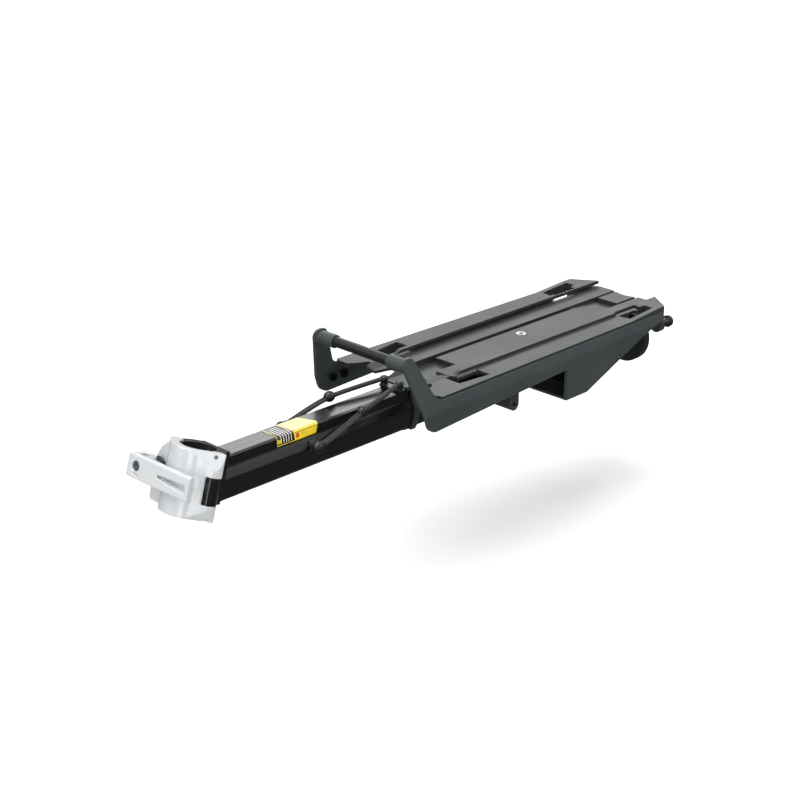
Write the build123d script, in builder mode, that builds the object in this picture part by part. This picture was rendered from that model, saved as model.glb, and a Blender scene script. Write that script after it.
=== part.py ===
from build123d import *

import math
import os

os.makedirs("parts", exist_ok=True)

# Seatpost-mounted beam rack, millimetres. +X runs rearward, +Y to the bicycle's right, +Z up from
# the deck. The origin is the centre of the seatpost bore.
postLean = 17.0  # the seatpost leans this far rearward at its top, degrees
postRadius = 15.95  # bore of the liners, for a 31.8 post
linerWall = 1.9
clampBore = postRadius + linerWall + 0.05
clampTop = 4.0
clampBottom = -57.0
jawRadius = 26.0
splitP = -3.4  # the jaw and the bracket part at this distance ahead of the post axis
grooveCount = 5
groovePitch = 11.0
moveGap = 0.35  # clearance between pieces that move on each other

hingeP = -2.4
hingeY = -27.2
knuckleRadius = 7.4
knuckleTop = -17.0
knuckleBottom = -42.0
hingePinRadius = 2.5
hingePinTop = -3.0
lockScrewRadius = 1.8
lockScrewDepth = 2.2
facetHigh = (-15.0, -15.8, 9.8)  # ends of the ridge that bounds the upper slanted face
facetLow = (-5.0, -35.1, -6.0)
facetCorner = (-0.1, -28.5, 4.8)
chinFront = (-33.4, -19.0, -49.0)  # ends of the ridge that bounds the lower slanted face
chinRear = (-20.1, -33.9, -43.7)
chinFoot = (-24.2, -26.6, -50.0)
lockScrewPoint = (-3.7, -28.66, 2.28)

skewerY = 35.0
skewerU = -25.5
skewerRadius = 2.5
lugOuterY = 44.0
jawLugFront = -10.5
bracketLugRear = 9.0
barrelRadius = 4.5
barrelP = 10.2  # the skewer swings about the barrel's axis
forkHalf = 3.2
nutWidth = 4.6
washerRadius = 9.0
washerThick = 3.4
camP = -28.4
camRadius = 9.4
leverTop = -15.0
leverBottom = -37.0
leverFront = -38.0
leverThick = 5.6
leverTipY = -37.0
leverRim = 1.4
slotCorners = ((4.0, -25.9, 1.3), (-30.0, -24.6, 1.6), (-31.2, -28.6, 1.6), (-25.0, -29.0, 1.3))

beamFrontP = 21.0
beamRear = 405.0
beamTop = -9.5
beamBottom = -50.2
beamLedge = -20.0
beamWaist = -30.0
beamTopHalf = 10.6
beamSideHalf = 12.8
beamLedgeHalf = 14.6
beamWaistHalf = 18.4
beamFootHalf = 13.0
beamWall = 2.6
beamScrewX = (34.0, 44.0)
beamScrewRadius = 2.5
beamScrewHead = 4.2
beamScrewHigh = 2.6
collarX = 252.0
collarLong = 6.0
collarGrow = 2.4
labelX = 80.0
labelLong = 53.0
labelThick = 0.4
plugDepth = 7.0

deckFront = 246.0
trackFront = 285.0
deckRear = 604.0
deckCornerX = 586.0
tailWall = 4.0
frontHalf = 72.4
rearHalf = 66.0
peakHalf = 39.4
trayTop = -6.5
trayWall = 3.0
trayHalf = 16.5
channelTop = 0.5
lipHalf = 39.0
lipBottom = 3.3
ribTop = 6.7
ribOuter = 43.2
undercutHalf = 45.5
wingTop = 3.6
wingWall = 2.8

trackRear = 571.5
plateFront = 315.5
plateRearX = 527.0
plateTop = -1.2
plateHalf = 13.4
rivetX = 429.0
rivetBore = 2.1
blockTop = 0.5
blockHalf = 13.0

plateWall = 3.5
plateLean = 0.30  # the side plates lean inward this much for each millimetre of height
plateBendZ = -9.0
armTopZ = 47.4
hoopFrontX = 191.4
armWidth = 15.7
armRootX = 228.0
skirtFrontX = 214.0
skirtFrontZ = -28.0
skirtRearZ = -18.6
cheekFrontX = 418.0
guardBottom = -52.6
guardBendX = 452.0
guardRearX = 545.0
guardRearZ = -16.3
guardWall = 2.6
sideScrewX = (229.0, 244.0)
sideScrewZ = -14.5
sideScrewRadius = 2.0
sideScrewHead = 4.0
lugSideX = 340.5
lugSideZ = -35.0
lugSideRadius = 6.5
lugHoleRadius = 2.6  # clearance for an M5 bolt
lugSideInner = 48.0
lugSideOuter = 70.7
barHalf = 60.2
barX = 201.0
barZ = 39.5
barRadius = 5.2
sleeveRadius = 6.8
sleeveInner = 36.6

blockHollow = 28.5  # radius of the hollow in the locking block's rear edge
frontSlot = ((272, 40.6), (272, 60), (311, 64.5), (311, 44.2), (281, 44.2), (281, 40.6))
rearSlot = ((531, 40.6), (534, 61), (573, 60), (573, 49), (566, 47.5), (566, 40.6))

tailPegY = 58.5
tailPegZ = -16.5
tailPegRadius = 7.4
strapPostX = 240.0
strapPostY = 10.5
strapPostRadius = 4.4
saddleStudY = 4.0
saddleThick = 2.2
deckScrewX = (335.0, 392.0)
beadRadius = 5.4
ballRadius = 6.0
cordRadius = 2.4
leftBead = (183.0, -18.2, -11.6)
leftBall = (119.5, -25.2, -27.0)
rightBead = (173.5, 17.6, -4.0)
rightBall = (119.0, 25.2, -22.0)

reflectorX = 611.0
reflectorZ = -47.0
reflectorRadius = 30.0
boltRadius = 2.5

lean = math.radians(postLean)
taper = math.atan((frontHalf - rearHalf) / (deckCornerX - deckFront))
alongPost = (math.sin(lean), 0, math.cos(lean))
acrossPost = (math.cos(lean), 0, -math.sin(lean))
postPlane = Plane(origin=(0, 0, 0), x_dir=acrossPost, z_dir=alongPost)
bothSides = (("left", -1), ("right", 1))


def postPoint(p, y, u):
    """Row position of a point given across, beside and along the post."""
    return (p * acrossPost[0] + u * alongPost[0], y, p * acrossPost[2] + u * alongPost[2])


def plateOuter(x, z):
    """Half width of the side plates' outer face at a station and height."""
    lower = min(wingTop - z, wingTop - plateBendZ)
    return frontHalf - math.tan(taper) * (x - deckFront) + plateLean * lower


def uprightAt(x, y):
    """Plane facing -Y through a vertical axis, for profiles that are turned about it."""
    return Plane(origin=(x, y, 0), x_dir=(1, 0, 0), z_dir=(0, -1, 0))


noseRadius = barrelP - jawLugFront
noseEnd = math.asin((lugOuterY - skewerY) / noseRadius)


def facetPlane(first, second, third):
    """Plane through three corners of a slanted face."""
    along = Vector(*second) - Vector(*first)
    return Plane(origin=first, x_dir=along, z_dir=along.cross(Vector(*third) - Vector(*first)))


upperFacet = facetPlane(facetHigh, facetLow, facetCorner)
lowerFacet = facetPlane(chinFoot, chinRear, chinFront)
lockScrewPlane = Plane(origin=lockScrewPoint, z_dir=upperFacet.z_dir)
skewerPlane = Plane(origin=postPoint(0, skewerY, skewerU), x_dir=(0, 1, 0), z_dir=acrossPost)
beamCut = Plane(origin=postPoint(beamFrontP, 0, 0), z_dir=acrossPost)


def beamOutline(grow):
    """Half outline of the beam, mirrored, grown outward by the given amount."""
    with BuildLine() as halfLine:
        Polyline(
            (0, beamTop),
            (beamTopHalf, beamTop),
            (beamSideHalf - 0.6, beamTop - 1.6),
            (beamSideHalf, beamLedge),
            (beamLedgeHalf, beamLedge - 0.8),
            (beamWaistHalf, beamWaist + 1.5),
            (beamWaistHalf, beamWaist - 1.5),
            (beamFootHalf + 1.8, beamBottom + 3.4),
            (beamFootHalf, beamBottom),
            (0, beamBottom),
        )
        mirror(about=Plane.YZ)
    with BuildSketch() as outline:
        add(halfLine.line)
        make_face()
        if grow != 0:
            offset(amount=grow, kind=Kind.INTERSECTION, mode=Mode.REPLACE)
    return outline.sketch


# seatpost clamp
with BuildPart() as clampBracket:
    with BuildSketch(postPlane.offset(clampBottom)):
        Circle(jawRadius - 1.0)
        with Locations((jawRadius / 2 - 2, 0)):
            Rectangle(beamFrontP * 2 - jawRadius + 4, 36)
    extrude(amount=clampTop - 1.0 - clampBottom)
    # the tail block is only as deep as the beam behind it
    with BuildSketch(postPlane.offset(clampBottom - 1)):
        with Locations((beamFrontP + 5, 0)):
            Rectangle(30, 60)
    extrude(amount=12, mode=Mode.SUBTRACT)
    # flat where it meets the jaw
    with BuildSketch(postPlane.offset(clampBottom - 1)):
        with Locations((splitP - 50, 0)):
            Rectangle(100, 120)
    extrude(amount=80, mode=Mode.SUBTRACT)
    # hinge knuckle on the left
    with BuildSketch(postPlane.offset(knuckleBottom)):
        with Locations((hingeP, hingeY)):
            Circle(knuckleRadius)
        with BuildLine():
            Polyline((1, -24), (hingeP + 1, hingeY - knuckleRadius), (12, -24), (14, -17), (1, -19), close=True)
        make_face()
    extrude(amount=knuckleTop - knuckleBottom)
    # flat where it meets the beam
    with BuildSketch(postPlane.offset(clampBottom - 1)):
        with Locations((beamFrontP + 20, 0)):
            Rectangle(40, 120)
    extrude(amount=80, mode=Mode.SUBTRACT)
    # skewer lug on the right
    with BuildSketch(postPlane.offset(skewerU - 15)):
        with Locations(((splitP + bracketLugRear) / 2, 32)):
            Rectangle(bracketLugRear - splitP, 2 * (lugOuterY - 32))
    extrude(amount=30)
    # fork slot and barrel groove
    with BuildSketch(skewerPlane.offset(-20)):
        with Locations((10, 0)):
            Rectangle(26, 2 * forkHalf)
    extrude(amount=60, mode=Mode.SUBTRACT)
    with BuildSketch(postPlane.offset(skewerU - 16)):
        with Locations((barrelP, skewerY)):
            Circle(barrelRadius + moveGap)
    extrude(amount=32, mode=Mode.SUBTRACT)
    # room for the nut to swing with the skewer
    with BuildSketch(postPlane.offset(skewerU - nutWidth - 0.6)):
        with Locations((barrelP, skewerY)):
            Circle(barrelRadius + 6)
    extrude(amount=2 * nutWidth + 1.2, mode=Mode.SUBTRACT)
    with BuildSketch(postPlane.offset(clampBottom - 1)):
        Circle(clampBore)
    extrude(amount=80, mode=Mode.SUBTRACT)
    with BuildSketch(postPlane.offset(knuckleBottom - 1)):
        with Locations((hingeP, hingeY)):
            Circle(hingePinRadius + 0.06)
    extrude(amount=40, mode=Mode.SUBTRACT)
    # clearance round the jaw's two hinge lugs
    for lugLow, lugHigh in ((knuckleTop, 20), (clampBottom - 2, knuckleBottom)):
        with BuildSketch(postPlane.offset(lugLow)):
            with Locations((hingeP, hingeY)):
                Circle(knuckleRadius + 1.2)
        extrude(amount=lugHigh - lugLow, mode=Mode.SUBTRACT)
    # tongue that fills the beam's mouth
    with BuildSketch(Plane.YZ.offset(14)):
        add(beamOutline(-beamWall - 0.1))
    extrude(amount=36)
    with BuildSketch(Plane.XY.offset(beamBottom - 1)):
        with Locations(*((screwX, 0) for screwX in beamScrewX)):
            Circle(beamScrewRadius + 0.1)
    extrude(amount=14, mode=Mode.SUBTRACT)
    with BuildSketch(postPlane.offset(clampBottom - 20)):
        Circle(clampBore)
    extrude(amount=100, mode=Mode.SUBTRACT)
clampBracket.part.label = "clamp_bracket"
export_step(clampBracket.part, "parts/clamp_bracket.step")

with BuildPart() as seatpostJaw:
    with BuildSketch(postPlane.offset(clampBottom - 1)):
        Circle(jawRadius)
        with Locations((hingeP, hingeY)):
            Circle(knuckleRadius + 0.5)
        with BuildLine():
            Polyline(
                (hingeP - 7.5, hingeY - 2.4),
                (-17.5, -19.5),
                (-10, -10),
                (hingeP, -22),
                close=True,
            )
        make_face()
        with BuildLine():
            # the lug's nose is round about the barrel, so that the washers swing clear of it
            nose = ThreePointArc(
                (barrelP - noseRadius * math.cos(noseEnd), lugOuterY),
                (barrelP - noseRadius * math.cos(noseEnd / 2), skewerY + noseRadius * math.sin(noseEnd / 2)),
                (jawLugFront, skewerY),
            )
            Polyline(
                nose @ 1,
                (jawLugFront, skewerY - washerRadius - 1),
                (-20.5, 16),
                (-10, 10),
                (splitP - moveGap, 16),
                (splitP - moveGap, lugOuterY),
                nose @ 0,
            )
        make_face()
    extrude(amount=clampTop - clampBottom + 1)
    # both rims fall away from the skewer lug's outer side
    with BuildSketch(Plane.YZ.offset(-60)):
        with BuildLine():
            Polyline((24, -70), (28, -61), (36, -57.5), (42, -52), (47, -43), (60, -36), (60, -70), close=True)
        make_face()
        with BuildLine():
            Polyline((28, 30), (28, 3), (36, -3), (43, -14), (60, -16), (60, 30), close=True)
        make_face()
    extrude(amount=90, dir=(1, 0, 0), mode=Mode.SUBTRACT)
    # the bracket's half, left clear except at the hinge
    with BuildSketch(postPlane.offset(clampBottom - 20)):
        with Locations((splitP - moveGap + 50, 0)):
            Rectangle(100, 140)
        with Locations((hingeP, hingeY)):
            Circle(knuckleRadius + 0.5, mode=Mode.SUBTRACT)
    extrude(amount=100, mode=Mode.SUBTRACT)
    with BuildSketch(postPlane.offset(knuckleBottom - moveGap)):
        with Locations((hingeP, hingeY)):
            Circle(knuckleRadius + 1.2)
        with Locations((hingeP + 10, hingeY + 2)):
            Rectangle(20, 16)
    extrude(amount=knuckleTop - knuckleBottom + 2 * moveGap, mode=Mode.SUBTRACT)
    with BuildSketch(postPlane.offset(clampBottom - 20)):
        Circle(clampBore)
    extrude(amount=100, mode=Mode.SUBTRACT)
    with BuildSketch(postPlane.offset(hingePinTop)):
        with Locations((hingeP, hingeY)):
            Circle(hingePinRadius)
    extrude(amount=-100, mode=Mode.SUBTRACT)
    # slanted faces on the hinge lugs, one above and one below
    for facet in (upperFacet, lowerFacet):
        with BuildSketch(facet):
            Rectangle(90, 90)
        extrude(amount=12, mode=Mode.SUBTRACT)
    with BuildSketch(skewerPlane.offset(-60)):
        with Locations((10, 0)):
            Rectangle(26, 2 * forkHalf)
    extrude(amount=70, mode=Mode.SUBTRACT)
    # seat for the locking screw of the hinge pin
    with BuildSketch(lockScrewPlane):
        Circle(lockScrewRadius)
    extrude(amount=-lockScrewDepth, mode=Mode.SUBTRACT)
seatpostJaw.part.label = "seatpost_jaw"
export_step(seatpostJaw.part, "parts/seatpost_jaw.step")

with BuildPart() as hingePin:
    with BuildSketch(postPlane.offset(clampBottom + 3.5)):
        with Locations((hingeP, hingeY)):
            Circle(hingePinRadius)
    extrude(amount=hingePinTop - clampBottom - 3.6)
    chamfer(hingePin.edges().filter_by(GeomType.CIRCLE), 0.4)
hingePin.part.label = "hinge_pin"
export_step(hingePin.part, "parts/hinge_pin.step")

with BuildPart() as pinLockScrew:
    with BuildSketch(lockScrewPlane.offset(0.3)):
        Circle(lockScrewRadius - 0.05)
    extrude(amount=-lockScrewDepth - 0.2)
    with BuildSketch(lockScrewPlane.offset(0.3)):
        RegularPolygon(radius=1.0, side_count=6)
    extrude(amount=-1.2, mode=Mode.SUBTRACT)
pinLockScrew.part.label = "pin_lock_screw"
export_step(pinLockScrew.part, "parts/pin_lock_screw.step")

# the liners stop short of the split so that they never pinch
for linerName, keepSide in (("bracket_liner", 1), ("jaw_liner", -1)):
    with BuildPart() as liner:
        with BuildSketch(postPlane.offset(clampBottom + 1.5)):
            Circle(clampBore - 0.03)
            Circle(postRadius, mode=Mode.SUBTRACT)
        extrude(amount=clampTop - clampBottom - 2.5)
        with BuildSketch(postPlane.offset(clampBottom - 1)):
            with Locations((splitP - keepSide * 50, 0)):
                Rectangle(101.6, 120)
        extrude(amount=80, mode=Mode.SUBTRACT)
        # grip grooves round the post side
        for groove in range(grooveCount):
            with BuildSketch(postPlane.offset(clampBottom + 8 + groove * groovePitch)):
                Circle(postRadius + 0.5)
            extrude(amount=1.2, mode=Mode.SUBTRACT)
    liner.part.label = linerName
    export_step(liner.part, f"parts/{linerName}.step")

# quick-release skewer and lever
with BuildPart() as skewerRod:
    with BuildSketch(skewerPlane.offset(camP + 2.0)):
        Circle(skewerRadius)
    extrude(amount=barrelP + barrelRadius + 4.5 - camP - 2.0)
    chamfer(skewerRod.edges().filter_by(GeomType.CIRCLE).sort_by(Axis.X)[-1], 0.6)
skewerRod.part.label = "skewer_rod"
export_step(skewerRod.part, "parts/skewer_rod.step")

with BuildPart() as skewerBarrel:
    with BuildSketch(postPlane.offset(skewerU - 13)):
        with Locations((barrelP, skewerY)):
            Circle(barrelRadius)
    extrude(amount=26)
    with BuildSketch(skewerPlane.offset(-10)):
        Circle(skewerRadius)
    extrude(amount=60, mode=Mode.SUBTRACT)
skewerBarrel.part.label = "skewer_barrel"
export_step(skewerBarrel.part, "parts/skewer_barrel.step")

with BuildPart() as skewerNut:
    with BuildSketch(skewerPlane.offset(barrelP + barrelRadius)):
        RegularPolygon(radius=nutWidth, side_count=6)
        Circle(skewerRadius, mode=Mode.SUBTRACT)
    extrude(amount=4.0)
skewerNut.part.label = "skewer_nut"
export_step(skewerNut.part, "parts/skewer_nut.step")

for index, washerName in enumerate(("rear_cam_washer", "front_cam_washer")):
    with BuildPart() as washer:
        with BuildSketch(skewerPlane.offset(jawLugFront - 0.45 - (index + 1) * washerThick - index * 0.1)):
            Circle(washerRadius - 0.8 * index)
            Circle(skewerRadius + 0.05, mode=Mode.SUBTRACT)
        extrude(amount=washerThick)
        chamfer(washer.edges().filter_by(GeomType.CIRCLE).sort_by(SortBy.RADIUS)[-2:], 0.6)
    washer.part.label = washerName
    export_step(washer.part, f"parts/{washerName}.step")

with BuildPart() as camLever:
    with BuildSketch(postPlane.offset(leverBottom)):
        with Locations((camP, skewerY)):
            Circle(camRadius)
        # blade: from the cam's front across the jaw, with a return at the tip
        with BuildLine():
            Polyline(
                (camP, skewerY + camRadius - 0.2),
                (camP - 5, skewerY + 10.5),
                (leverFront + 1.4, skewerY + 12.6),
                (leverFront, skewerY + 11.4),
                (leverFront, 0),
                (leverFront + 1.4, leverTipY),
                (leverFront + 7.4, leverTipY + 1),
                (leverFront + 7.6, leverTipY + 5),
                (leverFront + leverThick + 0.4, 8),
                (leverFront + leverThick + 2.5, skewerY - 12),
                (camP, skewerY - camRadius + 0.4),
                close=True,
            )
        make_face()
    extrude(amount=leverTop - leverBottom)
    frontRims = [
        edge
        for edge in camLever.edges()
        if edge.length > leverThick * 6 and (edge @ 0.5).dot(Vector(*acrossPost)) < leverFront + leverRim
    ]
    fillet(frontRims, radius=leverRim)
    # slot through the blade, narrower toward the cam
    with BuildSketch(Plane(origin=postPoint(leverFront - 2, 0, 0), x_dir=(0, 1, 0), z_dir=acrossPost)):
        for spotY, spotU, radius in slotCorners:
            with Locations((spotY, spotU)):
                Circle(radius)
        make_hull()
    extrude(amount=leverThick + 8, mode=Mode.SUBTRACT)
    # short slanted nick below the adjusting screw
    with BuildSketch(skewerPlane.offset(leverFront - 1)):
        with Locations(Location((-1.5, -7.2, 0), (0, 0, 1), 14)):
            Rectangle(8.5, 1.5)
    extrude(amount=3.0, mode=Mode.SUBTRACT)
    # slit that straddles the skewer, open over the whole swing of the lever
    with BuildSketch(postPlane.offset(skewerU - skewerRadius - 0.6)):
        with Locations((camP, skewerY)):
            Circle(camRadius + 4)
        with BuildLine():
            Polyline((camP + 14, skewerY - 30), (camP + 14, skewerY + 30), (camP - 3.4, skewerY + 30),
                     (camP - 3.4, skewerY - 8), (camP, skewerY - 30), close=True)
        make_face(mode=Mode.INTERSECT)
    extrude(amount=2 * skewerRadius + 1.2, mode=Mode.SUBTRACT)
    with BuildSketch(postPlane.offset(leverBottom - 1)):
        with Locations((camP, skewerY)):
            Circle(4.06)
    extrude(amount=40, mode=Mode.SUBTRACT)
    # round recess for the adjusting screw
    with BuildSketch(skewerPlane.offset(leverFront - 1)):
        Circle(5.0)
    extrude(amount=4.2, mode=Mode.SUBTRACT)
camLever.part.label = "cam_lever"
export_step(camLever.part, "parts/cam_lever.step")

with BuildPart() as camPin:
    with BuildSketch(postPlane.offset(leverBottom + 0.4)):
        with Locations((camP, skewerY)):
            Circle(4.0)
    extrude(amount=leverTop - leverBottom - 0.8)
    with BuildSketch(skewerPlane.offset(camP + 2.0)):
        Circle(skewerRadius)
    extrude(amount=12, mode=Mode.SUBTRACT)
camPin.part.label = "cam_pin"
export_step(camPin.part, "parts/cam_pin.step")

with BuildPart() as adjustScrew:
    with BuildSketch(skewerPlane.offset(leverFront + 0.5)):
        RegularPolygon(radius=4.2, side_count=6)
    extrude(amount=2.4)
    with BuildSketch(skewerPlane.offset(leverFront + 0.4)):
        Circle(1.5)
    extrude(amount=1.4, mode=Mode.SUBTRACT)
adjustScrew.part.label = "adjust_screw"
export_step(adjustScrew.part, "parts/adjust_screw.step")

# beam
with BuildPart() as beam:
    with BuildSketch(Plane.YZ.offset(5)):
        add(beamOutline(0))
        add(beamOutline(-beamWall), mode=Mode.SUBTRACT)
    extrude(amount=beamRear - 5)
    split(bisect_by=beamCut, keep=Keep.TOP)
    with BuildSketch(Plane.XY.offset(beamBottom - 1)):
        with Locations(*((screwX, 0) for screwX in beamScrewX)):
            Circle(beamScrewRadius + 0.1)
    extrude(amount=6, mode=Mode.SUBTRACT)
    with BuildSketch(Plane.XY.offset(beamTop - 6)):
        with Locations((deckScrewX[0], 0), (deckScrewX[1], 0)):
            Circle(2.6)
        with Locations((strapPostX, saddleStudY), (strapPostX, -saddleStudY)):
            Circle(1.6)
    extrude(amount=10, mode=Mode.SUBTRACT)
beam.part.label = "beam"
export_step(beam.part, "parts/beam.step")

with BuildPart() as beamEndPlug:
    with BuildSketch(Plane.YZ.offset(beamRear - plugDepth)):
        add(beamOutline(-beamWall - 0.1))
    extrude(amount=plugDepth)
    with BuildSketch(Plane.YZ.offset(beamRear)):
        add(beamOutline(0))
    extrude(amount=2.6)
beamEndPlug.part.label = "beam_end_plug"
export_step(beamEndPlug.part, "parts/beam_end_plug.step")

with BuildPart() as beamCollar:
    with BuildSketch(Plane.YZ.offset(collarX)):
        add(beamOutline(collarGrow))
        with Locations((0, beamBottom - 1)):
            Ellipse(9, 5.5)
        with Locations((0, beamTop + 5)):
            Rectangle(60, 10, mode=Mode.SUBTRACT)
        add(beamOutline(0.05), mode=Mode.SUBTRACT)
    extrude(amount=collarLong)
beamCollar.part.label = "beam_collar"
export_step(beamCollar.part, "parts/beam_collar.step")

with BuildPart() as beamLabel:
    with BuildSketch(Plane.YZ.offset(labelX)):
        add(beamOutline(labelThick))
        with Locations((-7, beamTop - 2)):
            Rectangle(35, 15, mode=Mode.INTERSECT)
        add(beamOutline(0.05), mode=Mode.SUBTRACT)
    extrude(amount=labelLong)
beamLabel.part.label = "beam_label"
export_step(beamLabel.part, "parts/beam_label.step")

with BuildPart() as beamScrews:
    for screwX in beamScrewX:
        with BuildSketch(Plane.XY.offset(beamBottom - beamScrewHigh)):
            with Locations((screwX, 0)):
                Circle(beamScrewHead)
        extrude(amount=beamScrewHigh)
        with BuildSketch(Plane.XY.offset(beamBottom - beamScrewHigh - 0.1)):
            with Locations((screwX, 0)):
                RegularPolygon(radius=1.9, side_count=6)
        extrude(amount=1.6, mode=Mode.SUBTRACT)
        with BuildSketch(Plane.XY.offset(beamBottom)):
            with Locations((screwX, 0)):
                Circle(beamScrewRadius)
        extrude(amount=12)
beamScrews.part.label = "beam_screws"
export_step(beamScrews.part, "parts/beam_screws.step")

# deck
# sections across the deck: halves as closed outlines, mirrored by the loop over both sides
trackSection = (
    (0, trayTop),
    (trayHalf, trayTop),
    (trayHalf, channelTop),
    (undercutHalf, channelTop),
    (undercutHalf, lipBottom),
    (lipHalf, lipBottom),
    (lipHalf, ribTop),
    (ribOuter, ribTop),
    (ribOuter, wingTop),
    (frontHalf + 4, wingTop),
    (frontHalf + 4, wingTop - wingWall),
    (undercutHalf + trayWall, wingTop - wingWall),
    (undercutHalf + trayWall, channelTop - trayWall),
    (trayHalf + trayWall, channelTop - trayWall),
    (trayHalf + trayWall, trayTop - trayWall),
    (0, trayTop - trayWall),
)
noseSection = (
    (0, trayTop),
    (trayHalf - 2, trayTop),
    (trayHalf + 5, -1.4),
    (lipHalf - 8, 0.2),
    (lipHalf + 1, wingTop),
    (frontHalf + 4, wingTop),
    (frontHalf + 4, wingTop - wingWall),
    (lipHalf + 2.5, wingTop - wingWall),
    (lipHalf - 7, 0.2 - wingWall),
    (trayHalf + 6, -1.4 - wingWall),
    (trayHalf - 0.5, trayTop - trayWall),
    (0, trayTop - trayWall),
)
# plan outline of the nose from the middle outward, with an open bay either side of the trough
noseCorners = (
    (deckFront, 0),
    (deckFront, 16),
    (deckFront + 17, 19),
    (deckFront + 19, 22),
    (deckFront + 17, 25),
    (deckFront - 1, 28),
    (deckFront - 3, 37.5),
    (deckFront + 5, 40),
    (deckFront + 6, 42),
    (deckFront + 4, 45),
    (deckFront - 4, 49),
    (deckFront - 13, 55),
    (deckFront - 13, 68.4),
    (deckFront - 11, 68.4),
    (deckFront - 11, frontHalf),
)
with BuildPart() as deckTray:
    for outline, start, stop in ((noseSection, deckFront - 14, trackFront), (trackSection, trackFront, deckRear)):
        with BuildSketch(Plane.YZ.offset(start)):
            with BuildLine():
                Polyline(*outline)
                mirror(about=Plane.YZ)
            make_face()
        extrude(amount=stop - start)
    for _, side in bothSides:
        # rear land, and the strip that climbs to it outside the rear slot
        with BuildSketch(Plane.XZ.offset(-side * (lipHalf + frontHalf) / 2)):
            with BuildLine():
                Polyline((529, wingTop - 0.5), (529, wingTop), (575, ribTop), (deckRear, ribTop),
                         (deckRear, wingTop - 0.5), close=True)
            make_face()
        extrude(amount=(frontHalf - lipHalf) / 2, both=True)
        # the rib ends in a ramp ahead of the front slot
        with BuildSketch(Plane.XZ.offset(-side * (lipHalf + ribOuter) / 2)):
            with BuildLine():
                Polyline((trackFront - 1, ribTop + 1), (trackFront - 1, wingTop), (trackFront, wingTop),
                         (trackFront + 7, ribTop), (trackFront + 8, ribTop + 1), close=True)
            make_face()
        extrude(amount=(ribOuter - lipHalf) / 2 + 1, both=True, mode=Mode.SUBTRACT)
        # tie-down slots
        with BuildSketch(Plane.XY.offset(-12)):
            for slotOutline in (frontSlot, rearSlot):
                with BuildLine():
                    Polyline(*((x, side * y) for x, y in slotOutline), close=True)
                make_face()
        extrude(amount=30, mode=Mode.SUBTRACT)
        # bosses that carry the tail pegs
        with BuildSketch(Plane.YZ.offset(deckCornerX - tailWall)):
            with Locations((side * tailPegY, tailPegZ)):
                Circle(tailPegRadius)
            with Locations((side * tailPegY, tailPegZ + 9)):
                Rectangle(2 * tailPegRadius, 18)
        extrude(amount=tailWall)
    # wall under the tail
    with BuildSketch(Plane.YZ.offset(deckCornerX - tailWall)):
        with BuildLine():
            Polyline((0, trayTop - 4), (tailPegY, -9), (rearHalf + 4, -7), (rearHalf + 4, wingTop - 0.5),
                     (undercutHalf + 2, wingTop - 1), (undercutHalf + 2, channelTop - 1),
                     (trayHalf + 1, channelTop - 1), (trayHalf + 1, trayTop - 1), (0, trayTop - 1))
            mirror(about=Plane.YZ)
        make_face()
    extrude(amount=tailWall)
    # locking block between the channels
    with BuildSketch(Plane.YZ.offset(trackRear)):
        with Locations((0, (trayTop + blockTop - 1) / 2)):
            Rectangle(2 * blockHalf, blockTop - trayTop + 1)
    extrude(amount=deckRear - trackRear)
    # plan outline
    with BuildSketch(Plane.XY.offset(-40)):
        with BuildLine():
            Polyline(
                *noseCorners,
                (deckCornerX, rearHalf),
                (deckRear, peakHalf),
                (deckRear, 0),
            )
            mirror(about=Plane.XZ)
        make_face()
    extrude(amount=80, mode=Mode.INTERSECT)
    # hollow of the locking block's rear edge
    with BuildSketch(Plane.XY.offset(-20)):
        with Locations((deckRear + blockHollow - 4.5, 0)):
            Circle(blockHollow)
    extrude(amount=40, mode=Mode.SUBTRACT)
    with BuildSketch(Plane.XY.offset(-20)):
        with Locations((rivetX, 0)):
            Circle(2.6)
    extrude(amount=20, mode=Mode.SUBTRACT)
    for screwX in deckScrewX:
        with Locations(Plane(origin=(screwX, 0, trayTop))):
            CounterSinkHole(radius=2.6, counter_sink_radius=4.7, depth=6)
deckTray.part.label = "deck_tray"
export_step(deckTray.part, "parts/deck_tray.step")

with BuildPart() as trackPlate:
    with BuildSketch(Plane.XZ):
        with BuildLine():
            Polyline((plateFront, trayTop + 0.05), (plateFront, plateTop), (plateRearX, plateTop - 0.4),
                     (trackRear - 0.3, trayTop + 2), (trackRear - 0.3, trayTop + 0.05), close=True)
        make_face()
    extrude(amount=plateHalf, both=True)
    # the plate widens to fill the tray behind its side grooves
    with BuildSketch(Plane.XZ):
        with BuildLine():
            Polyline((plateRearX, trayTop + 0.05), (plateRearX, plateTop - 0.4), (trackRear - 0.3, trayTop + 2),
                     (trackRear - 0.3, trayTop + 0.05), close=True)
        make_face()
    extrude(amount=trayHalf - 0.1, both=True)
    with BuildSketch(Plane.XY.offset(trayTop - 1)):
        with Locations((rivetX, 0)):
            Circle(2.5)
    extrude(amount=12, mode=Mode.SUBTRACT)
trackPlate.part.label = "track_plate"
export_step(trackPlate.part, "parts/track_plate.step")

with BuildPart() as trackRivet:
    with BuildSketch(uprightAt(rivetX, 0)):
        with BuildLine():
            Polyline((rivetBore, plateTop + 0.4), (rivetBore + 0.5, plateTop + 1.0), (3.4, plateTop + 1.1), (5.2, plateTop + 0.6),
                     (5.6, plateTop + 0.05), (2.4, plateTop + 0.05), (2.4, trayTop - 0.4),
                     (rivetBore, trayTop - 0.4), close=True)
        make_face()
    revolve(axis=Axis((rivetX, 0, 0), (0, 0, 1)))
trackRivet.part.label = "track_rivet"
export_step(trackRivet.part, "parts/track_rivet.step")

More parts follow.
